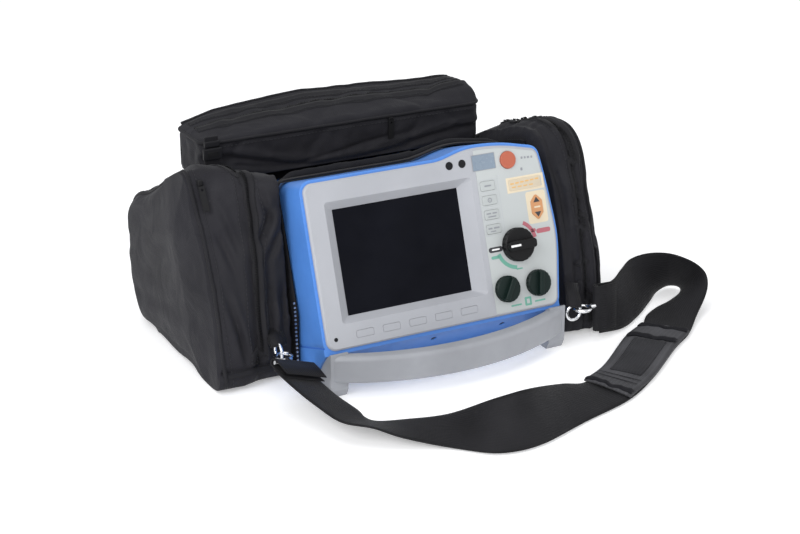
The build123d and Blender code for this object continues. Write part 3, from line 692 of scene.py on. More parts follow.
def right_folds(p, n):
    x, y, z = p.x * 1000, p.y * 1000, p.z * 1000
    if z < 3:
        return None
    front = sstep(0.2, 0.7, -n.y)
    top = sstep(0.3, 0.8, n.z) * (1 if y < 150 else 0)
    f2 = max(front, top)
    d = 0.0
    zipx = 166 + 0.02 * (z - 100)
    d -= 3.4 * f2 * crease(x - zipx, 2.6)
    d += 1.7 * f2 * crease(x - zipx - 7, 4.0) + 1.2 * f2 * crease(x - zipx + 6, 3.6)
    d -= 2.2 * f2 * crease(x - 151 - 3 * math.sin(z / 40), 2.6)
    wx, wz = x + 2.5 * nz(p, 20, 5), z + 4 * nz(p, 15, 8)
    for x0, z0, x1, z1, w, dep in RFOLDS:
        dd, t = seg(wx, wz, x0, z0, x1, z1)
        k = math.sin(math.pi * min(1, max(0, t * 0.9 + 0.05)))
        d += front * k * (-dep * math.exp(-(dd / w) ** 2) + 0.6 * dep * math.exp(-((dd - 2.1 * w) / (1.3 * w)) ** 2))
    d += 1.3 * nz(p, 14, 4) + 0.8 * nz(p, 38, 6)
    # dips across the top towards the pouch
    d -= 2.0 * top * crease(y - 112 - 8 * nz(p, 10, 3), 8)
    q = n * (d * 0.001)
    if x < 139.5:
        q.x = max(q.x, 0)
    return q


sculpt(left, left_form)
sculpt(left, left_folds)
sculpt(right, right_folds)
LT, RT = bvh_of(left), bvh_of(right)

# piping round the outer panels, zips and stitching
lring = ring_at(LP, -212.0, 0.99, (140, 78))
lring = [p for p in lring if p.z > 0.0042]
i0 = min(range(len(lring)), key=lambda i: (lring[i] - mm(22, 22, 0)).length if False else lring[i].z + (0 if lring[i].y < 0.1 else 9))
lring = lring[i0:] + lring[:i0]
lring = [p + Vector((0, lshift(p), 0)) for p in lring]
lpipe = [a for a, n in drape(resample(lring, 0.004), LT, 0.0004)]
tube("left_piping", lpipe, 0.0019, "tape", sides=8)
rring = ring_at(RP, 184.0, 0.965, (105, 80))
rring = [p for p in rring if p.z > 0.0042]
i0 = min(range(len(rring)), key=lambda i: rring[i].z + (0 if rring[i].y < 0.1 else 9))
rring = rring[i0:] + rring[:i0]
rpipe = [a for a, n in drape(resample(rring, 0.004), RT, 0.0004)]
tube("right_piping", rpipe, 0.0018, "tape", sides=8)


def zip_line(prefix, pts, tree, body="unit", w=0.016):
    """Zip: two tapes either side of a toothed coil."""
    path = resample(pts, 0.004)
    band_on(prefix + "_tape", path, tree, w, 0.0007, "tape", body, rows=6)
    dr = drape(resample(pts, 0.0016), tree, 0.0012)
    parts = []
    for i in range(len(dr) - 1):
        a, n = dr[i]
        t = (dr[i + 1][0] - a)
        if t.length < 1e-6:
            continue
        t.normalize()
        s = t.cross(n).normalized()
        sg = 1 if i % 2 else -1
        c = a + n * 0.0004
        v = []
        for k in (-1, 1):
            for l in (-1, 1):
                for h in (0, 1):
                    v.append(c + t * 0.00055 * k + s * (0.0012 * l + 0.0004 * sg) + n * 0.0009 * h)
        f = [(0, 1, 3, 2), (4, 6, 7, 5), (0, 4, 5, 1), (2, 3, 7, 6), (1, 5, 7, 3), (0, 2, 6, 4)]
        parts.append((v, f))
    V, F = join_geo(parts)
    make(prefix + "_coil", V, F, "zip", body, smooth=False)


zl = [mm(-176 + (z - 20) * 0.045, y, z) for y, z in [(20, 24), (23, 50), (34, 90), (51, 134), (76, 172), (96, 196),
                                                     (124, 198), (150, 184)]]
zl = [p + Vector((0, lshift(p), 0)) for p in spline(zl, 6)]
zip_line("left_zip", zl, LT)
stitches("left_zip_stitch_a", [p + mm(-10, -1, 0) for p in zl], LT)
stitches("left_zip_stitch_b", [p + mm(10, -5, 0) for p in zl], LT)
stitches("left_seam_stitch", [p + mm(7, 0, 0) for p in lpipe], LT)
zr = [mm(166 + 0.02 * (z - 100), y, z) for y, z in [(-26, 12), (-24, 40), (-11, 95), (7, 145), (22, 180), (42, 196),
                                                    (80, 198), (120, 194), (150, 184)]]
zip_line("right_zip", spline(zr, 6), RT)
stitches("right_zip_stitch_a", [p + mm(-10, -2, 0) for p in spline(zr, 6)], RT)
stitches("right_zip_stitch_b", [p + mm(9, -2, 0) for p in spline(zr, 6)], RT)
stitches("right_seam_stitch", [p + mm(-6, 0, 0) for p in rpipe], RT)
# base binding along the foot of the left pocket
base = [mm(-212, 16, 20), mm(-190, 15, 20), mm(-165, 15, 20), mm(-141, 15, 20)]
band_on("left_base_binding", resample(base, 0.004), LT, 0.006, 0.0008, "tape", rows=3)


# bright teeth of the sleeve's own zip, showing at its front left edge
parts = []
for k in range(15):
    z = 78.0 - 4.0 * k
    c = mm(-139.6, float(np.interp(z, [20, 49, 73, 79], [13.5, 16.0, 17.5, 19.5])), z)
    v = [c + mm(a * 0.9, b * 0.7, h * 0.9) for a in (-1, 1) for b in (-1, 1) for h in (-1, 1)]
    parts.append((v, [(0, 1, 3, 2), (4, 6, 7, 5), (0, 4, 5, 1), (2, 3, 7, 6), (1, 5, 7, 3), (0, 2, 6, 4)]))
V, F = join_geo(parts)
make("sleeve_zip_teeth", V, F, "steel", "unit", smooth=False)


# ------------------------------------------------------------------ sleeve round the device
def panel(name, origin, ux, uy, w, h, t, mat, fn=None, nu=40, nv=24, body="unit", trim=None):
    """A padded sheet: a closed slab with its front surface displaced by fn(u, v) in metres along the normal."""
    o0, ux, uy = Vector(origin), Vector(ux).normalized(), Vector(uy).normalized()
    n = ux.cross(uy)
    V, F = [], []
    for side in (1, 0):
        for j in range(nv + 1):
            for i in range(nu + 1):
                u, v = i / nu, j / nv
                a, b = (trim(u, v) if trim else (u, v))
                e = min(1, min(u, 1 - u) * nu / 1.5) * min(1, min(v, 1 - v) * nv / 1.5)
                d = (t * (0.45 + 0.55 * e) + (fn(u, v) * e if fn else 0)) if side else 0.0
                V.append(o0 + ux * a * w + uy * b * h + n * d)
    L = (nu + 1) * (nv + 1)
    for j in range(nv):
        for i in range(nu):
            a = j * (nu + 1) + i
            F.append((a, a + 1, a + nu + 2, a + nu + 1))
            b = a + L
            F.append((b, b + nu + 1, b + nu + 2, b + 1))
    for i in range(nu):
        a = i
        F.append((a, a + L, a + L + 1, a + 1))
        a = nv * (nu + 1) + i
        F.append((a, a + 1, a + L + 1, a + L))
    for j in range(nv):
        a = j * (nu + 1)
        F.append((a, a + nu + 1, a + nu + 1 + L, a + L))
        a = j * (nu + 1) + nu
        F.append((a, a + L, a + nu + 1 + L, a + nu + 1))
    return make(name, V, F, mat, body)


def quilt(u, v):
    d = 0.0022 * abs(math.sin(math.pi * 3 * u)) ** 0.5 * abs(math.sin(math.pi * 2 * v)) ** 0.5
    return d + 0.0008 * noise.noise(Vector((u * 9, v * 7, 1.5)))


back = panel("sleeve_back", mm(137.7, 238.6, 0.8), (-1, 0, 0), (0, 0, 1), 0.2754, 0.1540, 0.0030, "cloth", quilt, 90, 50)
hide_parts("case_sleeve")
# bound seam where the pouch is sewn on above the back
tube("pouch_seam_binding", resample([mm(-137.0, 238.4, 155.6), mm(0, 238.8, 155.4), mm(137.0, 238.4, 155.6)], 0.004), 0.0024,
     "tape", sides=10)
V = [mm(x, y, z) for x in (-137, 137) for y, z in ((230.5, 155.35), (239.5, 156.6), (239.5, 154.4), (230.5, 154.2))]
F = [(0, 1, 2, 3), (7, 6, 5, 4), (0, 4, 5, 1), (1, 5, 6, 2), (2, 6, 7, 3), (3, 7, 4, 0)]
make("pouch_seam_tape", V, F, "tape", smooth=False)


def side_trim(u, v):
    z = v * 154.6 + 0.6
    y0 = max(20.5, -8.52 + 0.3414 * (z - 106) + 43.5)
    return ((y0 - 20.5) + u * (238.2 - y0)) / 217.7, v


def soft(u, v):
    return 0.0006 * noise.noise(Vector((u * 12, v * 9, 3.5)))


# the sleeve's side walls are in the darker nylon as painted shade in the gap between pocket and device
panel("sleeve_left", mm(-134.4, 20.5, 0.6), (0, 1, 0), (0, 0, 1), 0.2177, 0.1546, -0.0030, "cloth_dark", soft, 60, 30,
      trim=side_trim)
panel("sleeve_right", mm(134.4, 20.5, 0.6), (0, 1, 0), (0, 0, 1), 0.2177, 0.1546, 0.0030, "cloth_dark", soft, 60, 30,
      trim=side_trim)
# upper cheeks of the side walls, up to the collar, in the darker nylon as painted shade
def cheek(x0, x1, name):
    prof = []
    for z in (155.5, 160, 165, 170, 175, 180, 184):
        prof.append((-8.52 + 0.3414 * (z - 106) + 43.5 + 0.4, z))
    bk = [(66, 184.6), (100, 174), (130, 165), (160, 156.8)]
    poly = prof + bk
    n = len(poly)
    V = [mm(x0, y, z) for y, z in poly] + [mm(x1, y, z) for y, z in poly]
    F = [tuple(range(n))[::-1], tuple(range(n, 2 * n))] + [(i, (i + 1) % n, (i + 1) % n + n, i + n) for i in range(n)]
    make(name, V, F, "cloth_dark", smooth=False)


cheek(-137.4, -134.4, "sleeve_cheek_left")
cheek(134.4, 137.4, "sleeve_cheek_right")
# base and front tongue in the darker nylon as painted shade under the device and behind the handle
panel("sleeve_base", mm(-134, 21, 0.3), (1, 0, 0), (0, 1, 0), 0.268, 0.2165, 0.0030, "cloth_dark", soft, 30, 24)
panel("sleeve_tongue", mm(-108.5, -13.5, 0.3), (1, 0, 0), (0, 1, 0), 0.213, 0.034, 0.0030, "cloth_dark", soft, 24, 6)

# collar: padded band over the device, just behind the blue edge
outline = [(-135.0, 30), (-135.2, 60), (-135.0, 74), (-131.0, 80.6), (-124, 82.6), (-90, 82.7), (-50, 82.7), (-10, 82.6),
           (8, 83.2), (24, 85.8), (42, 89.6), (62, 90.5), (92, 87.0), (114, 83.2), (124.6, 79.6), (128.6, 72), (130.2, 58),
           (132.0, 30)]
cpath = resample(spline([Vector((u, v, 0)) for u, v in outline], 8), 4.0)
V, F = [], []
ns = 14
for i, c in enumerate(cpath):
    a = cpath[max(0, i - 1)]
    b = cpath[min(len(cpath) - 1, i + 1)]
    t = (b - a).normalized()
    nrm = Vector((-t.y, t.x, 0))
    for k in range(ns):
        an = 2 * math.pi * k / ns
        w = -54.0 + 6.6 * math.cos(an) + 0.7 * noise.noise(Vector((c.x * 0.05, c.y * 0.05, 2 + math.cos(an))))
        h = 1.35 * math.sin(an) + 0.30
        q = c + nrm * h
        V.append(P(q.x, q.y, w))
for i in range(len(cpath) - 1):
    for k in range(ns):
        a, b = i * ns + k, i * ns + (k + 1) % ns
        F.append((a, a + ns, b + ns, b))
F.append(tuple(range(ns)))
F.append(tuple((len(cpath) - 1) * ns + k for k in range(ns))[::-1])
collar = make("sleeve_collar", V, F, "tape")
# a padded storm lip standing behind the top of the collar, in the darker nylon as painted shade behind the blue edge
tp = [c for c in cpath if c.y > 80.0 and -128 < c.x < 122]
V, F = [], []
for i, c in enumerate(tp):
    e = sstep(-128, -112, c.x) * (1 - sstep(96, 122, c.x))
    wv = 0.9 * noise.noise(Vector((c.x * 0.04, 1.0, 6.0))) + 0.5 * noise.noise(Vector((c.x * 0.13, 3.0, 6.0)))
    hgt = (6.4 if c.x < 16 else 4.2) * e + 0.8 + wv * e
    for k in range(10):
        an = 2 * math.pi * k / 10
        V.append(P(c.x, c.y + 0.6 + hgt * (0.5 + 0.5 * math.sin(an)), -57.6 + 2.1 * math.cos(an) - 1.0 * math.sin(an)))
for i in range(len(tp) - 1):
    for k in range(10):
        a, b = i * 10 + k, i * 10 + (k + 1) % 10
        F.append((a, a + 10, b + 10, b))
F.append(tuple(range(10)))
F.append(tuple((len(tp) - 1) * 10 + k for k in range(10))[::-1])
make("collar_lip", V, F, "cloth_dark")

# ------------------------------------------------------------------ rear pouch and its lid
PXL, PXR, PY0, PY1, PZ0, PZ1 = -168.0, 148.0, 166.4, 234.0, 155.4, 194.0
PXM, PXH = (PXL + PXR) / 2, (PXR - PXL) / 2


def rr_path(x0, x1, y0, y1, r, n=7):
    pts = []
    for cx, cy, a0 in ((x1 - r, y1 - r, 0), (x0 + r, y1 - r, 90), (x0 + r, y0 + r, 180), (x1 - r, y0 + r, 270)):
        for k in range(n):
            a = math.radians(a0 + 90 * k / (n - 1))
            pts.append((cx + r * math.cos(a), cy + r * math.sin(a)))
    return pts


def pick_path(x0, x1, y0, y1, r, N):
    path = resample([Vector((x, y, 0)) for x, y in rr_path(x0, x1, y0, y1, r)], 0.5, closed=True)
    return [path[int(i * len(path) / N)] for i in range(N)]


def front_fold(x, f):
    """Depth of the folds pressed into the front of the pouch, positive outwards, in mm."""
    d = 1.2 * noise.noise(Vector((x / 30, 4, f * 2.0))) + 0.9 * noise.noise(Vector((x / 11, 2, f * 3.4)))
    # sagging fold: from high at the left end down to the middle and up again
    line = 0.80 - 0.62 * sstep(-160, -40, x) + 0.40 * sstep(0, 130, x)
    d += 2.6 * crease(f - line, 0.10) - 3.4 * crease(f - line + 0.17, 0.09)
    line2 = 0.42 - 0.25 * sstep(-150, -90, x) + 0.35 * sstep(-70, 60, x)
    d -= 2.4 * crease(f - line2, 0.06) * sstep(-150, -120, x) * sstep(70, 20, x)
    for x0, sl, w in ((-142, 30, 5), (-96, -22, 6), (-48, 26, 7), (12, -18, 6), (66, 22, 6), (116, -20, 5)):
        d -= 1.6 * crease(x - x0 - sl * (f - 0.5), w)
    return d


def pouch_mesh():
    N = 420
    outer = pick_path(PXL, PXR, PY0, PY1, 13, N)
    inner = pick_path(PXL + 5.2, PXR - 5.2, PY0 + 5.2, PY1 - 5.2, 8.5, N)
    rows = []
    zs = [PZ0 + 0.3, PZ0 + 1.2, PZ0 + 3] + [PZ0 + 3 + (PZ1 - PZ0 - 4.4) * k / 22 for k in range(1, 23)] + [PZ1 - 0.6]
    for z in zs:
        row = []
        f = (z - PZ0) / (PZ1 - PZ0)
        env = min(1, f / 0.12) * min(1, (1 - f) / 0.08)
        for p in outer:
            fr_, bk_ = sstep(PY0 + 9, PY0 + 1, p.y), sstep(PY1 - 9, PY1 - 1, p.y)
            lf, rt = sstep(PXL + 9, PXL + 1, p.x), sstep(PXR - 9, PXR - 1, p.x)
            d = fr_ * front_fold(p.x, f) if fr_ > 0 else 0.0
            if bk_ > 0:
                d += bk_ * (1.4 * noise.noise(Vector((p.x / 30, 9, f * 3))) - 1.2 * abs(math.sin(p.x / 38)))
            if lf + rt > 0 and fr_ == 0 and bk_ == 0:
                d += 1.5 * noise.noise(Vector((p.y / 14, 3 + lf, f * 3))) - 0.8
            d = max(-3.6, min(1.3, d * env)) - 1.2 * (1 - env)
            y = p.y - fr_ * d + bk_ * d
            x = p.x - lf * d + rt * d
            row.append(mm(x, max(y, PY0 - 1.3), z))
        rows.append(row)
    rows.append([mm(*(o_.lerp(i_, 0.35)).to_tuple()[:2], PZ1 - 0.05) for o_, i_ in zip(outer, inner)])
    rows.append([mm(*(o_.lerp(i_, 0.8)).to_tuple()[:2], PZ1 - 0.2) for o_, i_ in zip(outer, inner)])
    for z in (PZ1 - 2, PZ1 - 14, PZ1 - 26, PZ0 + 5):
        rows.append([mm(p.x, p.y, z) for p in inner])
    V = [p for r in rows for p in r]
    F = []
    for j in range(len(rows) - 1):
        for i in range(N):
            a, b = j * N + i, j * N + (i + 1) % N
            F.append((a, b, b + N, a + N))
    F.append(tuple(range(N))[::-1])
    F.append(tuple((len(rows) - 1) * N + i for i in range(N)))
    return make("rear_pouch_fabric", V, F, "cloth")


pouch = pouch_mesh()
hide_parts("rear_pouch")
PT = bvh_of(pouch)

FLAPS = ((0.80, 1.7), (0.47, 2.2))          # zip-cover edges across the lid, as a share of its depth


BACK_X = (-176, -164, -150, -137, -87, -31, 27, 86, 125, 140, 156)
BACK_Z = (196.5, 199, 203.5, 206.5, 213.2, 216.5, 214.5, 211.5, 208.5, 206.5, 202)


def lid_top(x, y):
    """Height of the padded lid in mm at plan position x, y."""
    t = abs((x - PXM) / PXH)
    f = (y - PY0) / (PY1 - PY0)
    arch = 1 - min(1, t) ** 2.4
    back = sum(float(np.interp(x + k, BACK_X, BACK_Z)) for k in (-8, -4, 0, 4, 8)) / 5
    z = (199 + 2.6 * arch) * (1 - f) + back * f
    z += 1.5 * math.sin(math.pi * min(1, max(0, f)))
    z += 6.5 * sstep(90, 144, x) * sstep(0.0, 0.26, f) * (1 - 0.7 * sstep(0.5, 1.0, f))
    z += 1.5 * noise.noise(Vector((x / 42, y / 30, 1.0))) + 0.8 * noise.noise(Vector((x / 15, y / 12, 5.0)))
    for fc, dep in FLAPS:
        g = f - fc - 0.018 * noise.noise(Vector((x / 40, fc * 9, 2.0)))
        # the cover stands proud in front of the line and the far panel dives under it
        z += dep * (0.9 * math.exp(-max(0, -g) / 0.10) if g < 0 else -0.9 * math.exp(-g / 0.045))
    for x0, sl, w, dp in ((-120, 60, 7, 1.3), (-70, -70, 9, 1.1), (-8, 80, 9, 1.2), (52, -60, 8, 1.2), (104, 50, 7, 1.3)):
        z -= dp * crease(x - x0 - sl * (f - 0.5), w) * (1 - sstep(0.72, 0.98, f))
    return z


def lid_mesh():
    nx, ny = 230, 64
    V, F = [], []

    def plan(i, j, inset):
        u, v = 2 * i / nx - 1, 2 * j / ny - 1
        # squircle-like mapping gives the corners a radius
        hx, hy = PXH - inset, (PY1 - PY0) / 2 - inset
        x = PXM + hx * u
        y = (PY0 + PY1) / 2 + hy * v
        r = 12.0
        ex, ey = abs(x - PXM) - (hx - r), abs(y - (PY0 + PY1) / 2) - (hy - r)
        if ex > 0 and ey > 0:
            m, l = max(ex, ey), math.hypot(ex, ey)
            x = PXM + math.copysign(hx - r + ex * m / l, x - PXM)
            y = (PY0 + PY1) / 2 + math.copysign(hy - r + ey * m / l, y - (PY0 + PY1) / 2)
        return x, y, min(hx * (1 - abs(u)), hy * (1 - abs(v)))

    def edge_round(d, r=5.0):
        return 1.0 if d >= r else math.sqrt(max(0.0, 1 - (1 - d / r) ** 2))

    base = PZ1 + 0.6
    for j in range(ny + 1):
        for i in range(nx + 1):
            x, y, d = plan(i, j, 0.0)
            zt = lid_top(x, y)
            z = zt - (1 - edge_round(d)) * min(5.0, zt - base - 1.6)
            V.append(mm(x, y, z))
    L = (nx + 1) * (ny + 1)
    for j in range(ny + 1):
        for i in range(nx + 1):
            x, y, d = plan(i, j, 4.2)
            V.append(mm(x, y, max(base + 0.1, lid_top(x, y) - 5.2) if 0 < i < nx and 0 < j < ny else base))
    for j in range(ny):
        for i in range(nx):
            a = j * (nx + 1) + i
            F.append((a, a + 1, a + nx + 2, a + nx + 1))
            b = a + L
            F.append((b, b + nx + 1, b + nx + 2, b + 1))
    ring = [i for i in range(nx + 1)] + [j * (nx + 1) + nx for j in range(1, ny + 1)] + \
           [ny * (nx + 1) + i for i in range(nx - 1, -1, -1)] + [j * (nx + 1) for j in range(ny - 1, 0, -1)]
    nr_ = len(ring)
    o = len(V)
    for k in ring:
        p = V[k]
        V.append(Vector((p.x, p.y, (base) * 0.001)))
    for k in range(nr_):
        a, b = ring[k], ring[(k + 1) % nr_]
        c, d = o + k, o + (k + 1) % nr_
        F.append((a, c, d, b))
        F.append((c, a + L if False else ring[k] + L, ring[(k + 1) % nr_] + L, d))
    ob = make("pouch_lid_fabric", V, F, "cloth", "pouch_lid")
    bm = bmesh.new()
    bm.from_mesh(ob.data)
    bmesh.ops.recalc_face_normals(bm, faces=bm.faces)
    bm.to_mesh(ob.data)
    bm.free()
    return ob


lid = lid_mesh()
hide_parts("pouch_lid")
LIDT = bvh_of(lid)


def lid_line(f, x0=-160, x1=140, step=5):
    out = []
    for x in range(x0, x1 + 1, step):
        y = PY0 + (PY1 - PY0) * (f + 0.018 * noise.noise(Vector((x / 40, f * 9, 2.0))))
        out.append(mm(x, y, lid_top(x, y)))
    return out


def lid_ribbon(name, f, off, width, mat, lift):
    """A folded cover edge lying on the lid just in front of a zip line."""
    V, F = [], []
    xs = list(range(-161, 142, 3))
    for x in xs:
        y0 = PY0 + (PY1 - PY0) * (f + 0.018 * noise.noise(Vector((x / 40, f * 9, 2.0)))) + off
        for k in range(5):
            y = y0 - width * k / 4
            V.append(mm(x, y, lid_top(x, y) + lift + (0.6 if k < 2 else 0.0)))
        for k in range(4, -1, -1):
            y = y0 - width * k / 4
            V.append(mm(x, y, lid_top(x, y) - 0.5))
    for i in range(len(xs) - 1):
        for k in range(10):
            a, b = i * 10 + k, i * 10 + (k + 1) % 10
            F.append((a, b, b + 10, a + 10))
    F.append(tuple(range(10))[::-1])
    F.append(tuple((len(xs) - 1) * 10 + k for k in range(10)))
    ob = make(name, V, F, mat, "pouch_lid")
    return ob


for k, (fc, dep) in enumerate(FLAPS):
    lid_ribbon(f"lid_cover_{k + 1}", fc, -0.6, 9.0, "tape", 0.5)
    stitches(f"lid_cover_stitch_{k + 1}", [p + mm(0, -8.0, 0.4) for p in lid_line(fc)], LIDT, body="pouch_lid", lift=0.0011)
zip_line("pouch_zip", [p + mm(0, 3.0, 0) for p in lid_line(FLAPS[1][0])], LIDT, "pouch_lid", 0.006)
rim = pick_path(PXL + 0.2, PXR - 0.2, PY0 + 0.2, PY1 - 0.2, 12, 260)
tube("lid_binding", [mm(p.x, p.y, PZ1 + 1.9 + 0.5 * noise.noise(Vector((p.x / 25, p.y / 25, 3)))) for p in rim], 0.0016,
     "tape", "pouch_lid", sides=8, closed=True)
back_edge = []
for i in range(0, 63):
    x = PXL + 5 + (PXR - PXL - 10) * i / 62
    y = PY1 - 3.2
    back_edge.append(mm(x, y, lid_top(x, y) + 0.1))
tube("lid_top_piping", back_edge, 0.0016, "tape", "pouch_lid", sides=8)
stitches("pouch_hem_stitch", [mm(x, PY0, 190.5) for x in range(-154, 135, 4)], PT, lift=0.0005)
# front left corner: webbing tab with a small buckle body, female half on the pouch and tongue half on the lid
def block(name, c, size, mat, body="unit", bev=0.0008, rot=0.0):
    bm = bmesh.new()
    bmesh.ops.create_cube(bm, size=1.0)
    for v in bm.verts:
        v.co = Vector((v.co.x * size[0], v.co.y * size[1], v.co.z * size[2])) * 0.001
    bmesh.ops.bevel(bm, geom=bm.edges[:], offset=bev, segments=3, affect="EDGES", profile=0.6)
    R_ = Matrix.Rotation(rot, 4, "Z")
    for v in bm.verts:
        v.co = R_ @ v.co + mm(*c)
    me = bpy.data.meshes.new(name)
    bm.to_mesh(me)
    bm.free()
    me.materials.append(M[mat])
    for p in me.polygons:
        p.use_smooth = True
    ob = bpy.data.objects.new(name, me)
    SC.collection.objects.link(ob)
    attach(ob, body)
    return ob


block("left_zip_slider", (-203.5, 83.2, 187.4), (5.2, 4.0, 6.4), "zip", bev=0.0010)
block("pouch_zip_slider", (40.0, PY0 - 0.6, 193.0), (5.2, 3.4, 3.4), "zip", bev=0.0008)
for bx in (-158.0,):
    block("pouch_buckle_web", (bx, PY0 - 2.0, 175.0), (15, 1.8, 28), "web")
    block("pouch_buckle_body", (bx, PY0 - 3.6, 186.5), (19, 4.6, 12), "black", bev=0.0014)
    block("pouch_buckle_slot", (bx, PY0 - 6.0, 186.5), (11, 0.8, 5), "zip", bev=0.0003)
    block("lid_buckle_tongue", (bx, PY0 - 3.2, 196.4), (16, 3.6, 6), "black", "pouch_lid", bev=0.0012)
    block("lid_buckle_web", (bx, PY0 - 1.4, 199.0), (14, 2.0, 9), "web", "pouch_lid")

# ------------------------------------------------------------------ strap
STRAP = [
    ((-184, -32, 40), (-141, -20, 22)), ((-179, -63, 34), (-134, -55, 14)), ((-170, -91, 26), (-125, -83, 8)),
    ((-161, -123, 22), (-124, -96, 6)), ((-140, -143, 20), (-116, -104, 4)), ((-118, -158, 12), (-95, -116, 6)),
    ((-81, -179, 3), (-59, -134, 11)), ((-50, -207, 2.5), (-38, -179, 41)), ((-9, -211, 2.5), (-7, -187, 47)),
    ((54, -190, 2.5), (56, -143, 19)), ((112, -172, 3), (94, -124, 4)), ((160, -143, 3), (128, -107, 5)),
    ((218, -98, 3), (183, -62, 5)),
    ((250, -77, 4), (218, -40, 4)),
    ((280, -50, 9), (240, -18, 3)), ((301, -34, 18), (262, -5, 3)), ((309, -27, 28), (281, 2, 3)),
    ((311, -20, 37), (301, 12, 3)), ((310, -8, 42), (313, 23, 3)), ((305, 8, 45), (315, 33, 3)),
    ((293, 22, 48), (306, 38, 3)), ((272, 28, 50), (286, 29, 3)), ((249, 26, 49), (262, 9, 3)),
    ((223, 6, 49), (230, -16, 3)), ((199, -15, 50), (200, -33, 3)), ((168.5, -35.0, 55), (168.5, -38.5, 6)),
]


def strap_mesh(name, stations, thick, mat, body="unit", across=14, per=9, lift=0.0, bow=0.0, wav=0.0,
               ext=0.0):
    A_ = spline([mm(*a) for a, b in stations], per)
    B_ = spline([mm(*b) for a, b in stations], per)
    if ext:
        A_, B_ = [a + (a - b) * ext for a, b in zip(A_, B_)], [b + (b - a) * ext for a, b in zip(A_, B_)]
    n = len(A_)
    mid = [(a + b) / 2 for a, b in zip(A_, B_)]
    V, F, uv = [], [], []
    s = 0.0
    R = across + 1
    for i in range(n):
        t = (mid[min(n - 1, i + 1)] - mid[max(0, i - 1)]).normalized()
        if i:
            s += (mid[i] - mid[i - 1]).length
        side = (B_[i] - A_[i])
        w = side.length
        side.normalize()
        nr = side.cross(t).normalized()
        if i == 0:
            pass
        for lay in (1, 0):
            for k in range(R):
                f = k / across
                edge = 1.0 - 0.35 * (abs(2 * f - 1) ** 8)
                off = (thick * edge if lay else 0.0) - thick * 0.5 + lift
                off += bow * (1 - (2 * f - 1) ** 2)
                off += wav * math.sin(s * 900) * (1 if abs(2 * f - 1) > 0.9 else 0.2)
                p = A_[i].lerp(B_[i], f) + nr * off * -1.0
                p.z = max(p.z, 0.0004 + (0.0004 if lay else 0))
                V.append(p)
                uv.append((s, (f - 0.5) * w))
    L = 2 * R
    for i in range(n - 1):
        for k in range(across):
            a = i * L + k
            F.append((a, a + L, a + L + 1, a + 1))
            c = i * L + R + k
            F.append((c, c + 1, c + L + 1, c + L))
        a = i * L
        F.append((a, a + R, a + L + R, a + L))
        e = i * L + across
        F.append((e, e + L, e + L + R, e + R))
    F.append(tuple(range(0, R)) + tuple(range(2 * R - 1, R - 1, -1)))
    e = (n - 1) * L
    F.append(tuple(e + k for k in range(R - 1, -1, -1)) + tuple(e + R + k for k in range(0, R)))
    o = make(name, V, F, mat, body, uv=uv)
    bm = bmesh.new()
    bm.from_mesh(o.data)
    bmesh.ops.recalc_face_normals(bm, faces=bm.faces)
    bm.to_mesh(o.data)
    bm.free()
    return o


strap = strap_mesh("shoulder_strap", STRAP, 0.0018, "web")
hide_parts("strap_webbing")
pst = []
for a, b in STRAP[10:14]:
    pst.append(((a[0], a[1], a[2] + 2.6), (b[0], b[1], b[2] + 2.6)))
pad = strap_mesh("grip_pad", pst, 0.0024, "pad", ext=0.015, lift=0.0, across=24, per=22, bow=0.0012)
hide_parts("shoulder_pad")


def strap_patch(name, i0, i1, f0, f1, thick, mat, lift, wave=0.0, n=40, across=16, wob=0.0):
    """A sewn patch lying on the strap between stations i0 and i1 and across it from f0 to f1."""
    per = 20
    A_ = spline([mm(*a) for a, b in STRAP[10:14]], per)
    B_ = spline([mm(*b) for a, b in STRAP[10:14]], per)
    V, F, uv = [], [], []
    R = across + 1
    N = len(A_) - 1

    def at(t):
        k = min(N - 1e-6, max(0, t * N))
        i = int(k)
        return A_[i].lerp(A_[i + 1], k - i), B_[i].lerp(B_[i + 1], k - i)

    for i in range(n + 1):
        for lay in (1, 0):
            for k in range(R):
                f = f0 + (f1 - f0) * k / across
                t = i0 + (i1 - i0) * i / n
                if wave:
                    t += wave * math.sin(f * 11.0) * 0.5 + wave * 0.35 * math.sin(f * 23.0 + 1.0)
                a, b = at(t)
                e = min(1.0, min(i, n - i) / 2.0) * min(1.0, min(k, across - k) / 1.5)
                p = a.lerp(b, f)
                p.z += lift + (thick * (0.35 + 0.65 * e) if lay else 0.0) + wob * math.sin(f * 19 + i) * e * lay
                V.append(p)
                uv.append((t * 0.15, (f - 0.5) * 0.05))
    L = 2 * R
    for i in range(n):
        for k in range(across):
            a = i * L + k
            F.append((a, a + 1, a + L + 1, a + L))
            c = i * L + R + k
            F.append((c, c + L, c + L + 1, c + 1))
        F.append((i * L, i * L + L, i * L + L + R, i * L + R))
        e = i * L + across
        F.append((e, e + R, e + L + R, e + L))
    F.append(tuple(range(0, R)) + tuple(range(2 * R - 1, R - 1, -1)))
    e = n * L
    F.append(tuple(e + k for k in range(R - 1, -1, -1)) + tuple(e + R + k for k in range(0, R)))
    ob = make(name, V, F, mat, "unit", uv=uv)
    bm = bmesh.new()
    bm.from_mesh(ob.data)
    bmesh.ops.recalc_face_normals(bm, faces=bm.faces)
    bm.to_mesh(ob.data)
    bm.free()
    return ob


PZ = 0.0043
strap_patch("pad_inset", 0.26, 0.66, 0.17, 0.80, 0.0012, "pad_dark", PZ + 0.0010)
strap_patch("pad_rib_low", 0.012, 0.055, 0.0, 1.0, 0.0026, "cloth_dark", PZ - 0.0004, wave=0.022, n=8, across=40)
strap_patch("pad_rib_mid", 0.675, 0.72, 0.02, 0.98, 0.0026, "cloth_dark", PZ + 0.0006, wave=0.020, n=8, across=40)
strap_patch("pad_rib_high", 0.93, 0.985, 0.0, 1.0, 0.0030, "cloth_dark", PZ - 0.0006, wave=0.022, n=8, across=40)
for k in range(2):
    strap_patch(f"pad_groove_{k + 1}", 0.135 + 0.055 * k, 0.143 + 0.055 * k, 0.06, 0.94, 0.0005, "pad_dark", PZ + 0.0012, n=4)


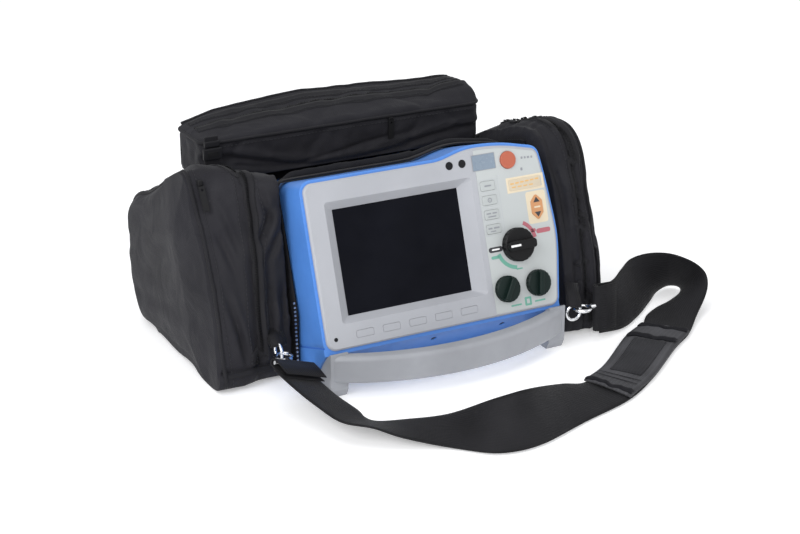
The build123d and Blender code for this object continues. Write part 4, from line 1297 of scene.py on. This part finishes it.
def end_loop(name, c0, c1, r, back, mat="web"):
    """Webbing wrapped round a bar and running back over the strap: an open-ended oval sleeve."""
    c0, c1 = mm(*c0), mm(*c1)
    ax = (c1 - c0).normalized()
    bk_ = Vector(back).normalized()
    bk_ = (bk_ - ax * bk_.dot(ax)).normalized()
    nr = ax.cross(bk_).normalized()
    prof = []
    for k in range(13):
        an = math.pi * (0.5 + k / 12)
        prof.append((math.cos(an) * r, math.sin(an) * r))
    outer = [(0.022, r * 0.62)] + [(0.010, r * 0.95)] + prof + [(0.010, -r * 0.95)] + [(0.022, -r * 0.62)]
    th = 0.0012
    inner = [(a * (r - th) / r if a < 0 else a, b * (r - th) / r) for a, b in outer][::-1]
    path = outer + inner
    n = len(path)
    V = [c + bk_ * a + nr * b for c in (c0, c0.lerp(c1, 0.02), c0.lerp(c1, 0.5), c0.lerp(c1, 0.98), c1) for a, b in path]
    F = []
    for j in range(4):
        for i in range(n):
            F.append((j * n + i, j * n + (i + 1) % n, (j + 1) * n + (i + 1) % n, (j + 1) * n + i))
    m = len(outer)
    for i in range(m - 1):
        F.append((i, n - 1 - i, n - 2 - i, i + 1))
        e = 4 * n
        F.append((e + i, e + i + 1, e + n - 2 - i, e + n - 1 - i))
    uv = []
    for j, s_ in enumerate((-0.024, -0.023, 0, 0.023, 0.024)):
        for i in range(n):
            uv.append((i * 0.0012, s_))
    ob = make(name, V, F, mat, "unit", uv=uv)
    bm = bmesh.new()
    bm.from_mesh(ob.data)
    bmesh.ops.recalc_face_normals(bm, faces=bm.faces)
    bm.to_mesh(ob.data)
    bm.free()
    return ob


end_loop("strap_loop_right", (164.4, -38.9, 10.5), (164.4, -35.8, 57.5), 0.0040, (1, 0.0, 0))
end_loop("strap_loop_left", (-182.3, -26.3, 44.6), (-137.6, -15.2, 26.4), 0.0040, (0.05, -1, -0.2))


def ring_tab(name, c, wrap, run, width, n=26):
    """Short webbing tab folded through a ring: c is the wire centre it passes round, run where it is sewn on."""
    c = mm(*c)
    w = Vector(wrap).normalized()
    d = (mm(*run) - c)
    ln = d.length
    d.normalize()
    w = (w - d * w.dot(d)).normalized()
    nr = d.cross(w).normalized()
    r = 0.0030
    path = [(ln, 0.0009), (ln * 0.5, 0.0016), (0.004, r * 0.95)] + [(-math.sin(math.pi * k / 8) * r, math.cos(math.pi * k / 8) * r) for k in range(9)] + \
           [(0.004, -r * 0.95), (ln * 0.5, -0.0016), (ln, -0.0009)]
    inn = [((a if a > 0 else a * 0.62), b * 0.62) for a, b in path][::-1]
    full = path + inn
    m, nn = len(path), len(full)
    V = [c + w * s_ + d * a + nr * b for s_ in (-width / 2, width / 2) for a, b in full]
    F = [(i, (i + 1) % nn, nn + (i + 1) % nn, nn + i) for i in range(nn)]
    for i in range(m - 1):
        F.append((i, nn - 1 - i, nn - 2 - i, i + 1))
        F.append((nn + i, nn + i + 1, nn + nn - 2 - i, nn + nn - 1 - i))
    uv = [(i * 0.001, s_) for s_ in (-0.008, 0.008) for i in range(nn)]
    ob = make(name, V, F, "web", "unit", uv=uv)
    bm = bmesh.new()
    bm.from_mesh(ob.data)
    bmesh.ops.recalc_face_normals(bm, faces=bm.faces)
    bm.to_mesh(ob.data)
    bm.free()
    return ob


ring_tab("ring_tab_right", (137.0, -37.5, 43.0), (1, 0, 0), (142.0, -23.5, 60.0), 0.014)
ring_tab("ring_tab_left", (-160.0, 12.0, 44.0), (1, 0, 0), (-160.0, 23.5, 54.0), 0.016)

# ------------------------------------------------------------------ printed legends on the panel
def decal(name, loops, mat, body="unit", w=0.16, h=0.10):
    """Thin print on the panel from closed loops of (u, v) in mm."""
    V, F = [], []
    for lp in loops:
        o = len(V)
        n = len(lp)
        V += [P(u, v, w) for u, v in lp] + [P(u, v, w + h) for u, v in lp]
        F.append(tuple(o + n + i for i in range(n)))
        F.append(tuple(o + i for i in range(n))[::-1])
        F += [(o + i, o + (i + 1) % n, o + n + (i + 1) % n, o + n + i) for i in range(n)]
    return make(name, V, F, mat, body, smooth=False)


def rect(cx, cy, w, h, r=0.0, ang=0.0):
    r = min(r, w / 2 - 0.01, h / 2 - 0.01)
    pts = []
    if r > 0:
        for sx, sy, a0 in ((1, 1, 0), (-1, 1, 90), (-1, -1, 180), (1, -1, 270)):
            for k in range(5):
                a = math.radians(a0 + 22.5 * k)
                pts.append((sx * (w / 2 - r) + r * math.cos(a), sy * (h / 2 - r) + r * math.sin(a)))
    else:
        pts = [(-w / 2, -h / 2), (w / 2, -h / 2), (w / 2, h / 2), (-w / 2, h / 2)]
    c, s = math.cos(math.radians(ang)), math.sin(math.radians(ang))
    return [(cx + x * c - y * s, cy + x * s + y * c) for x, y in pts]


def arc(cx, cy, r0, r1, a0, a1, n=14):
    out = [(cx + r1 * math.cos(math.radians(a0 + (a1 - a0) * k / n)), cy + r1 * math.sin(math.radians(a0 + (a1 - a0) * k / n)))
           for k in range(n + 1)]
    inn = [(cx + r0 * math.cos(math.radians(a0 + (a1 - a0) * k / n)), cy + r0 * math.sin(math.radians(a0 + (a1 - a0) * k / n)))
           for k in range(n, -1, -1)]
    return out + inn


def frame_loop(cx, cy, w, h, t):
    return [rect(cx, cy + h / 2 - t / 2, w, t), rect(cx, cy - h / 2 + t / 2, w, t),
            rect(cx - w / 2 + t / 2, cy, t, h - 2 * t), rect(cx + w / 2 - t / 2, cy, t, h - 2 * t)]


decal("print_red", [arc(84, -14, 20.2, 24.0, 10, 62), rect(116, -5.0, 16, 4.6, 2.0), rect(104.6, -3.4, 6, 3.4, 1.5)], "red_ink")
decal("print_green", [arc(84, -14, 20.2, 24.0, 196, 262), rect(58.6, -22.6, 9, 3.0, 1.4), rect(87.6, -70.4, 7.5, 8.5, 1.0),
                      rect(74, -72, 12, 1.6, 0.7), rect(101, -72, 12, 1.6, 0.7), rect(83.3, -37.6, 7, 1.4, 0.6)], "green_ink")
decal("print_green_mark", [rect(87.6, -70.4, 3.2, 4.6, 0.5)], "film", w=0.27)
decal("print_black", [rect(60.2, -15, 15.5, 5.2, 2.4)], "dark_ink")
decal("print_black_mark", [rect(60.2, -15, 8.6, 1.5, 0.6)], "white", w=0.27)
decal("print_cream", [rect(112.6, 18.5, 22, 31.5, 2.5)], "cream_ink", w=0.13, h=0.05)
decal("print_cream_label", frame_loop(103.4, 43.3, 42, 15, 2.6), "cream_ink", w=0.13, h=0.05)
decal("print_grey", [rect(103.6, 68.2, 2.2, 2.4, 0.8), rect(107.2, 68.0, 2.0, 2.2, 0.6), rect(110.8, 67.8, 2.6, 2.2, 0.6),
                     rect(114.6, 67.5, 2.0, 2.2, 0.6), rect(101.6, 57.4, 2.4, 3.0, 0.8)], "grey_ink")
# frames round the side keys and their column line
fl = []
for x, y in ((61.6, 47.0), (61.6, 33.0), (61.6, 19.0), (61.6, 5.0)):
    fl += frame_loop(x, y, 19.4, 12.4, 0.45)
fl.append(rect(73.4, 26, 0.6, 58))
fl += [rect(74.6, 55, 3, 0.6), rect(74.6, -3, 3, 0.6)]
decal("print_key_frames", fl, "pale_ink")
marks = [[rect(0, 0, 7.5, 1.6, 0.7)], [arc(0, 0, 1.4, 2.4, 0, 359, 20), rect(0, 0, 1.2, 1.2, 0.5)],
         [rect(-3.4, 1.2, 5, 1.4, 0.6), rect(3.2, 1.2, 5, 1.4, 0.6), rect(0, -1.9, 9, 1.2, 0.5)],
         [rect(-4, 0.8, 4.6, 1.6, 0.6), rect(3, 0.8, 6.4, 1.6, 0.6), rect(-1, -2.2, 6, 1.2, 0.5)]]
for i, ((x, y), ms) in enumerate(zip(((61.6, 47.0), (61.6, 33.0), (61.6, 19.0), (61.6, 5.0)), marks), 1):
    decal(f"side_key_{i}_mark", [[(a + x, b + y) for a, b in m] for m in ms], "grey_ink", f"side_key_{i}", w=0.57, h=0.05)
decal("charge_key_marks", [rect(88.5 + 5.6 * k, 44.6 + 0.25 * k, 4.2, 1.5, 0.6) for k in range(6)] +
      [rect(90 + 6.5 * k, 41.2, 4.6, 1.2, 0.5) for k in range(4)], "orange_ink", "charge_button", w=0.72, h=0.05)
decal("energy_up", [[(112.6, 28.4), (108.9, 23.2), (116.3, 23.2)]], "dark_ink", "energy_rocker", w=1.02, h=0.05)
decal("energy_down", [[(112.6, 8.6), (116.3, 13.8), (108.9, 13.8)]], "dark_ink", "energy_rocker", w=1.02, h=0.05)
decal("energy_bar", [rect(112.6, 18.5, 7, 1.6, 0.6)], "cream_ink", "energy_rocker", w=1.02, h=0.05)
decal("status_mark", frame_loop(61.0, 70.3, 25.6, 15.6, 0.5), "grey_ink", w=0.30)

# ------------------------------------------------------------------ floor, light, camera
fm, nt, b = new_mat("floor")
b.inputs["Base Color"].default_value = (0.93, 0.93, 0.935, 1)
b.inputs["Roughness"].default_value = 0.9
b.inputs["Specular IOR Level"].default_value = 0.1
b.inputs["Emission Color"].default_value = (1, 1, 1, 1)
b.inputs["Emission Strength"].default_value = 0.27
fn_ = N_(nt, "ShaderNodeTexNoise", i_Scale=3.0)
bb = N_(nt, "ShaderNodeBump", i_Strength=0.02)
nt.links.new(fn_.outputs[0], bb.inputs["Height"])
nt.links.new(bb.outputs[0], b.inputs["Normal"])
me = bpy.data.meshes.new("floor")
me.from_pydata([(-14, -14, 0), (14, -14, 0), (14, 14, 0), (-14, 14, 0)], [], [(0, 1, 2, 3)])
me.materials.append(fm)
floor = bpy.data.objects.new("floor", me)
SC.collection.objects.link(floor)

world = bpy.data.worlds.new("studio")
SC.world = world
world.use_nodes = True
bg = world.node_tree.nodes["Background"]
bg.inputs[0].default_value = (0.97, 0.98, 1.0, 1)
bg.inputs[1].default_value = 0.62


def area(name, loc, target, size, power, col=(1, 1, 1)):
    l = bpy.data.lights.new(name, "AREA")
    l.shape = "RECTANGLE"
    l.size, l.size_y = size
    l.energy = power
    l.color = col
    o = bpy.data.objects.new(name, l)
    o.location = loc
    o.rotation_euler = (Vector(target) - Vector(loc)).to_track_quat("-Z", "Y").to_euler()
    SC.collection.objects.link(o)


area("key_left", (-2.0, -1.0, 1.7), (0, 0.05, 0.1), (1.3, 1.3), 30)
area("top", (-0.1, 0.5, 2.3), (0, 0.1, 0.1), (2.2, 2.0), 14)
area("fill_right", (1.8, -1.4, 1.2), (0, 0, 0.1), (1.4, 1.2), 7)
area("front", (-0.75, -1.75, 0.95), (0, 0, 0.08), (0.9, 0.6), 13)

r_ = Vector((math.cos(math.radians(28.05)), -math.sin(math.radians(28.05)), 0))
phi, psi = math.radians(21.638), math.radians(28.05)
fw = Vector((math.sin(psi) * math.cos(phi), math.cos(psi) * math.cos(phi), -math.sin(phi)))
up = r_.cross(fw)
cam = bpy.data.cameras.new("camera")
cam.lens = 81.0
cam.sensor_width = 36.0
cam.sensor_fit = "HORIZONTAL"
cam.clip_end = 60
co = bpy.data.objects.new("camera", cam)
mw = Matrix((( r_.x, up.x, -fw.x, -0.78316), (r_.y, up.y, -fw.y, -1.39989), (r_.z, up.z, -fw.z, 0.73139), (0, 0, 0, 1)))
co.matrix_world = mw
SC.collection.objects.link(co)
SC.camera = co
SC.view_settings.view_transform = "Standard"
SC.view_settings.look = "None"
SC.view_settings.exposure = 0.0
SC.view_settings.gamma = 1.0
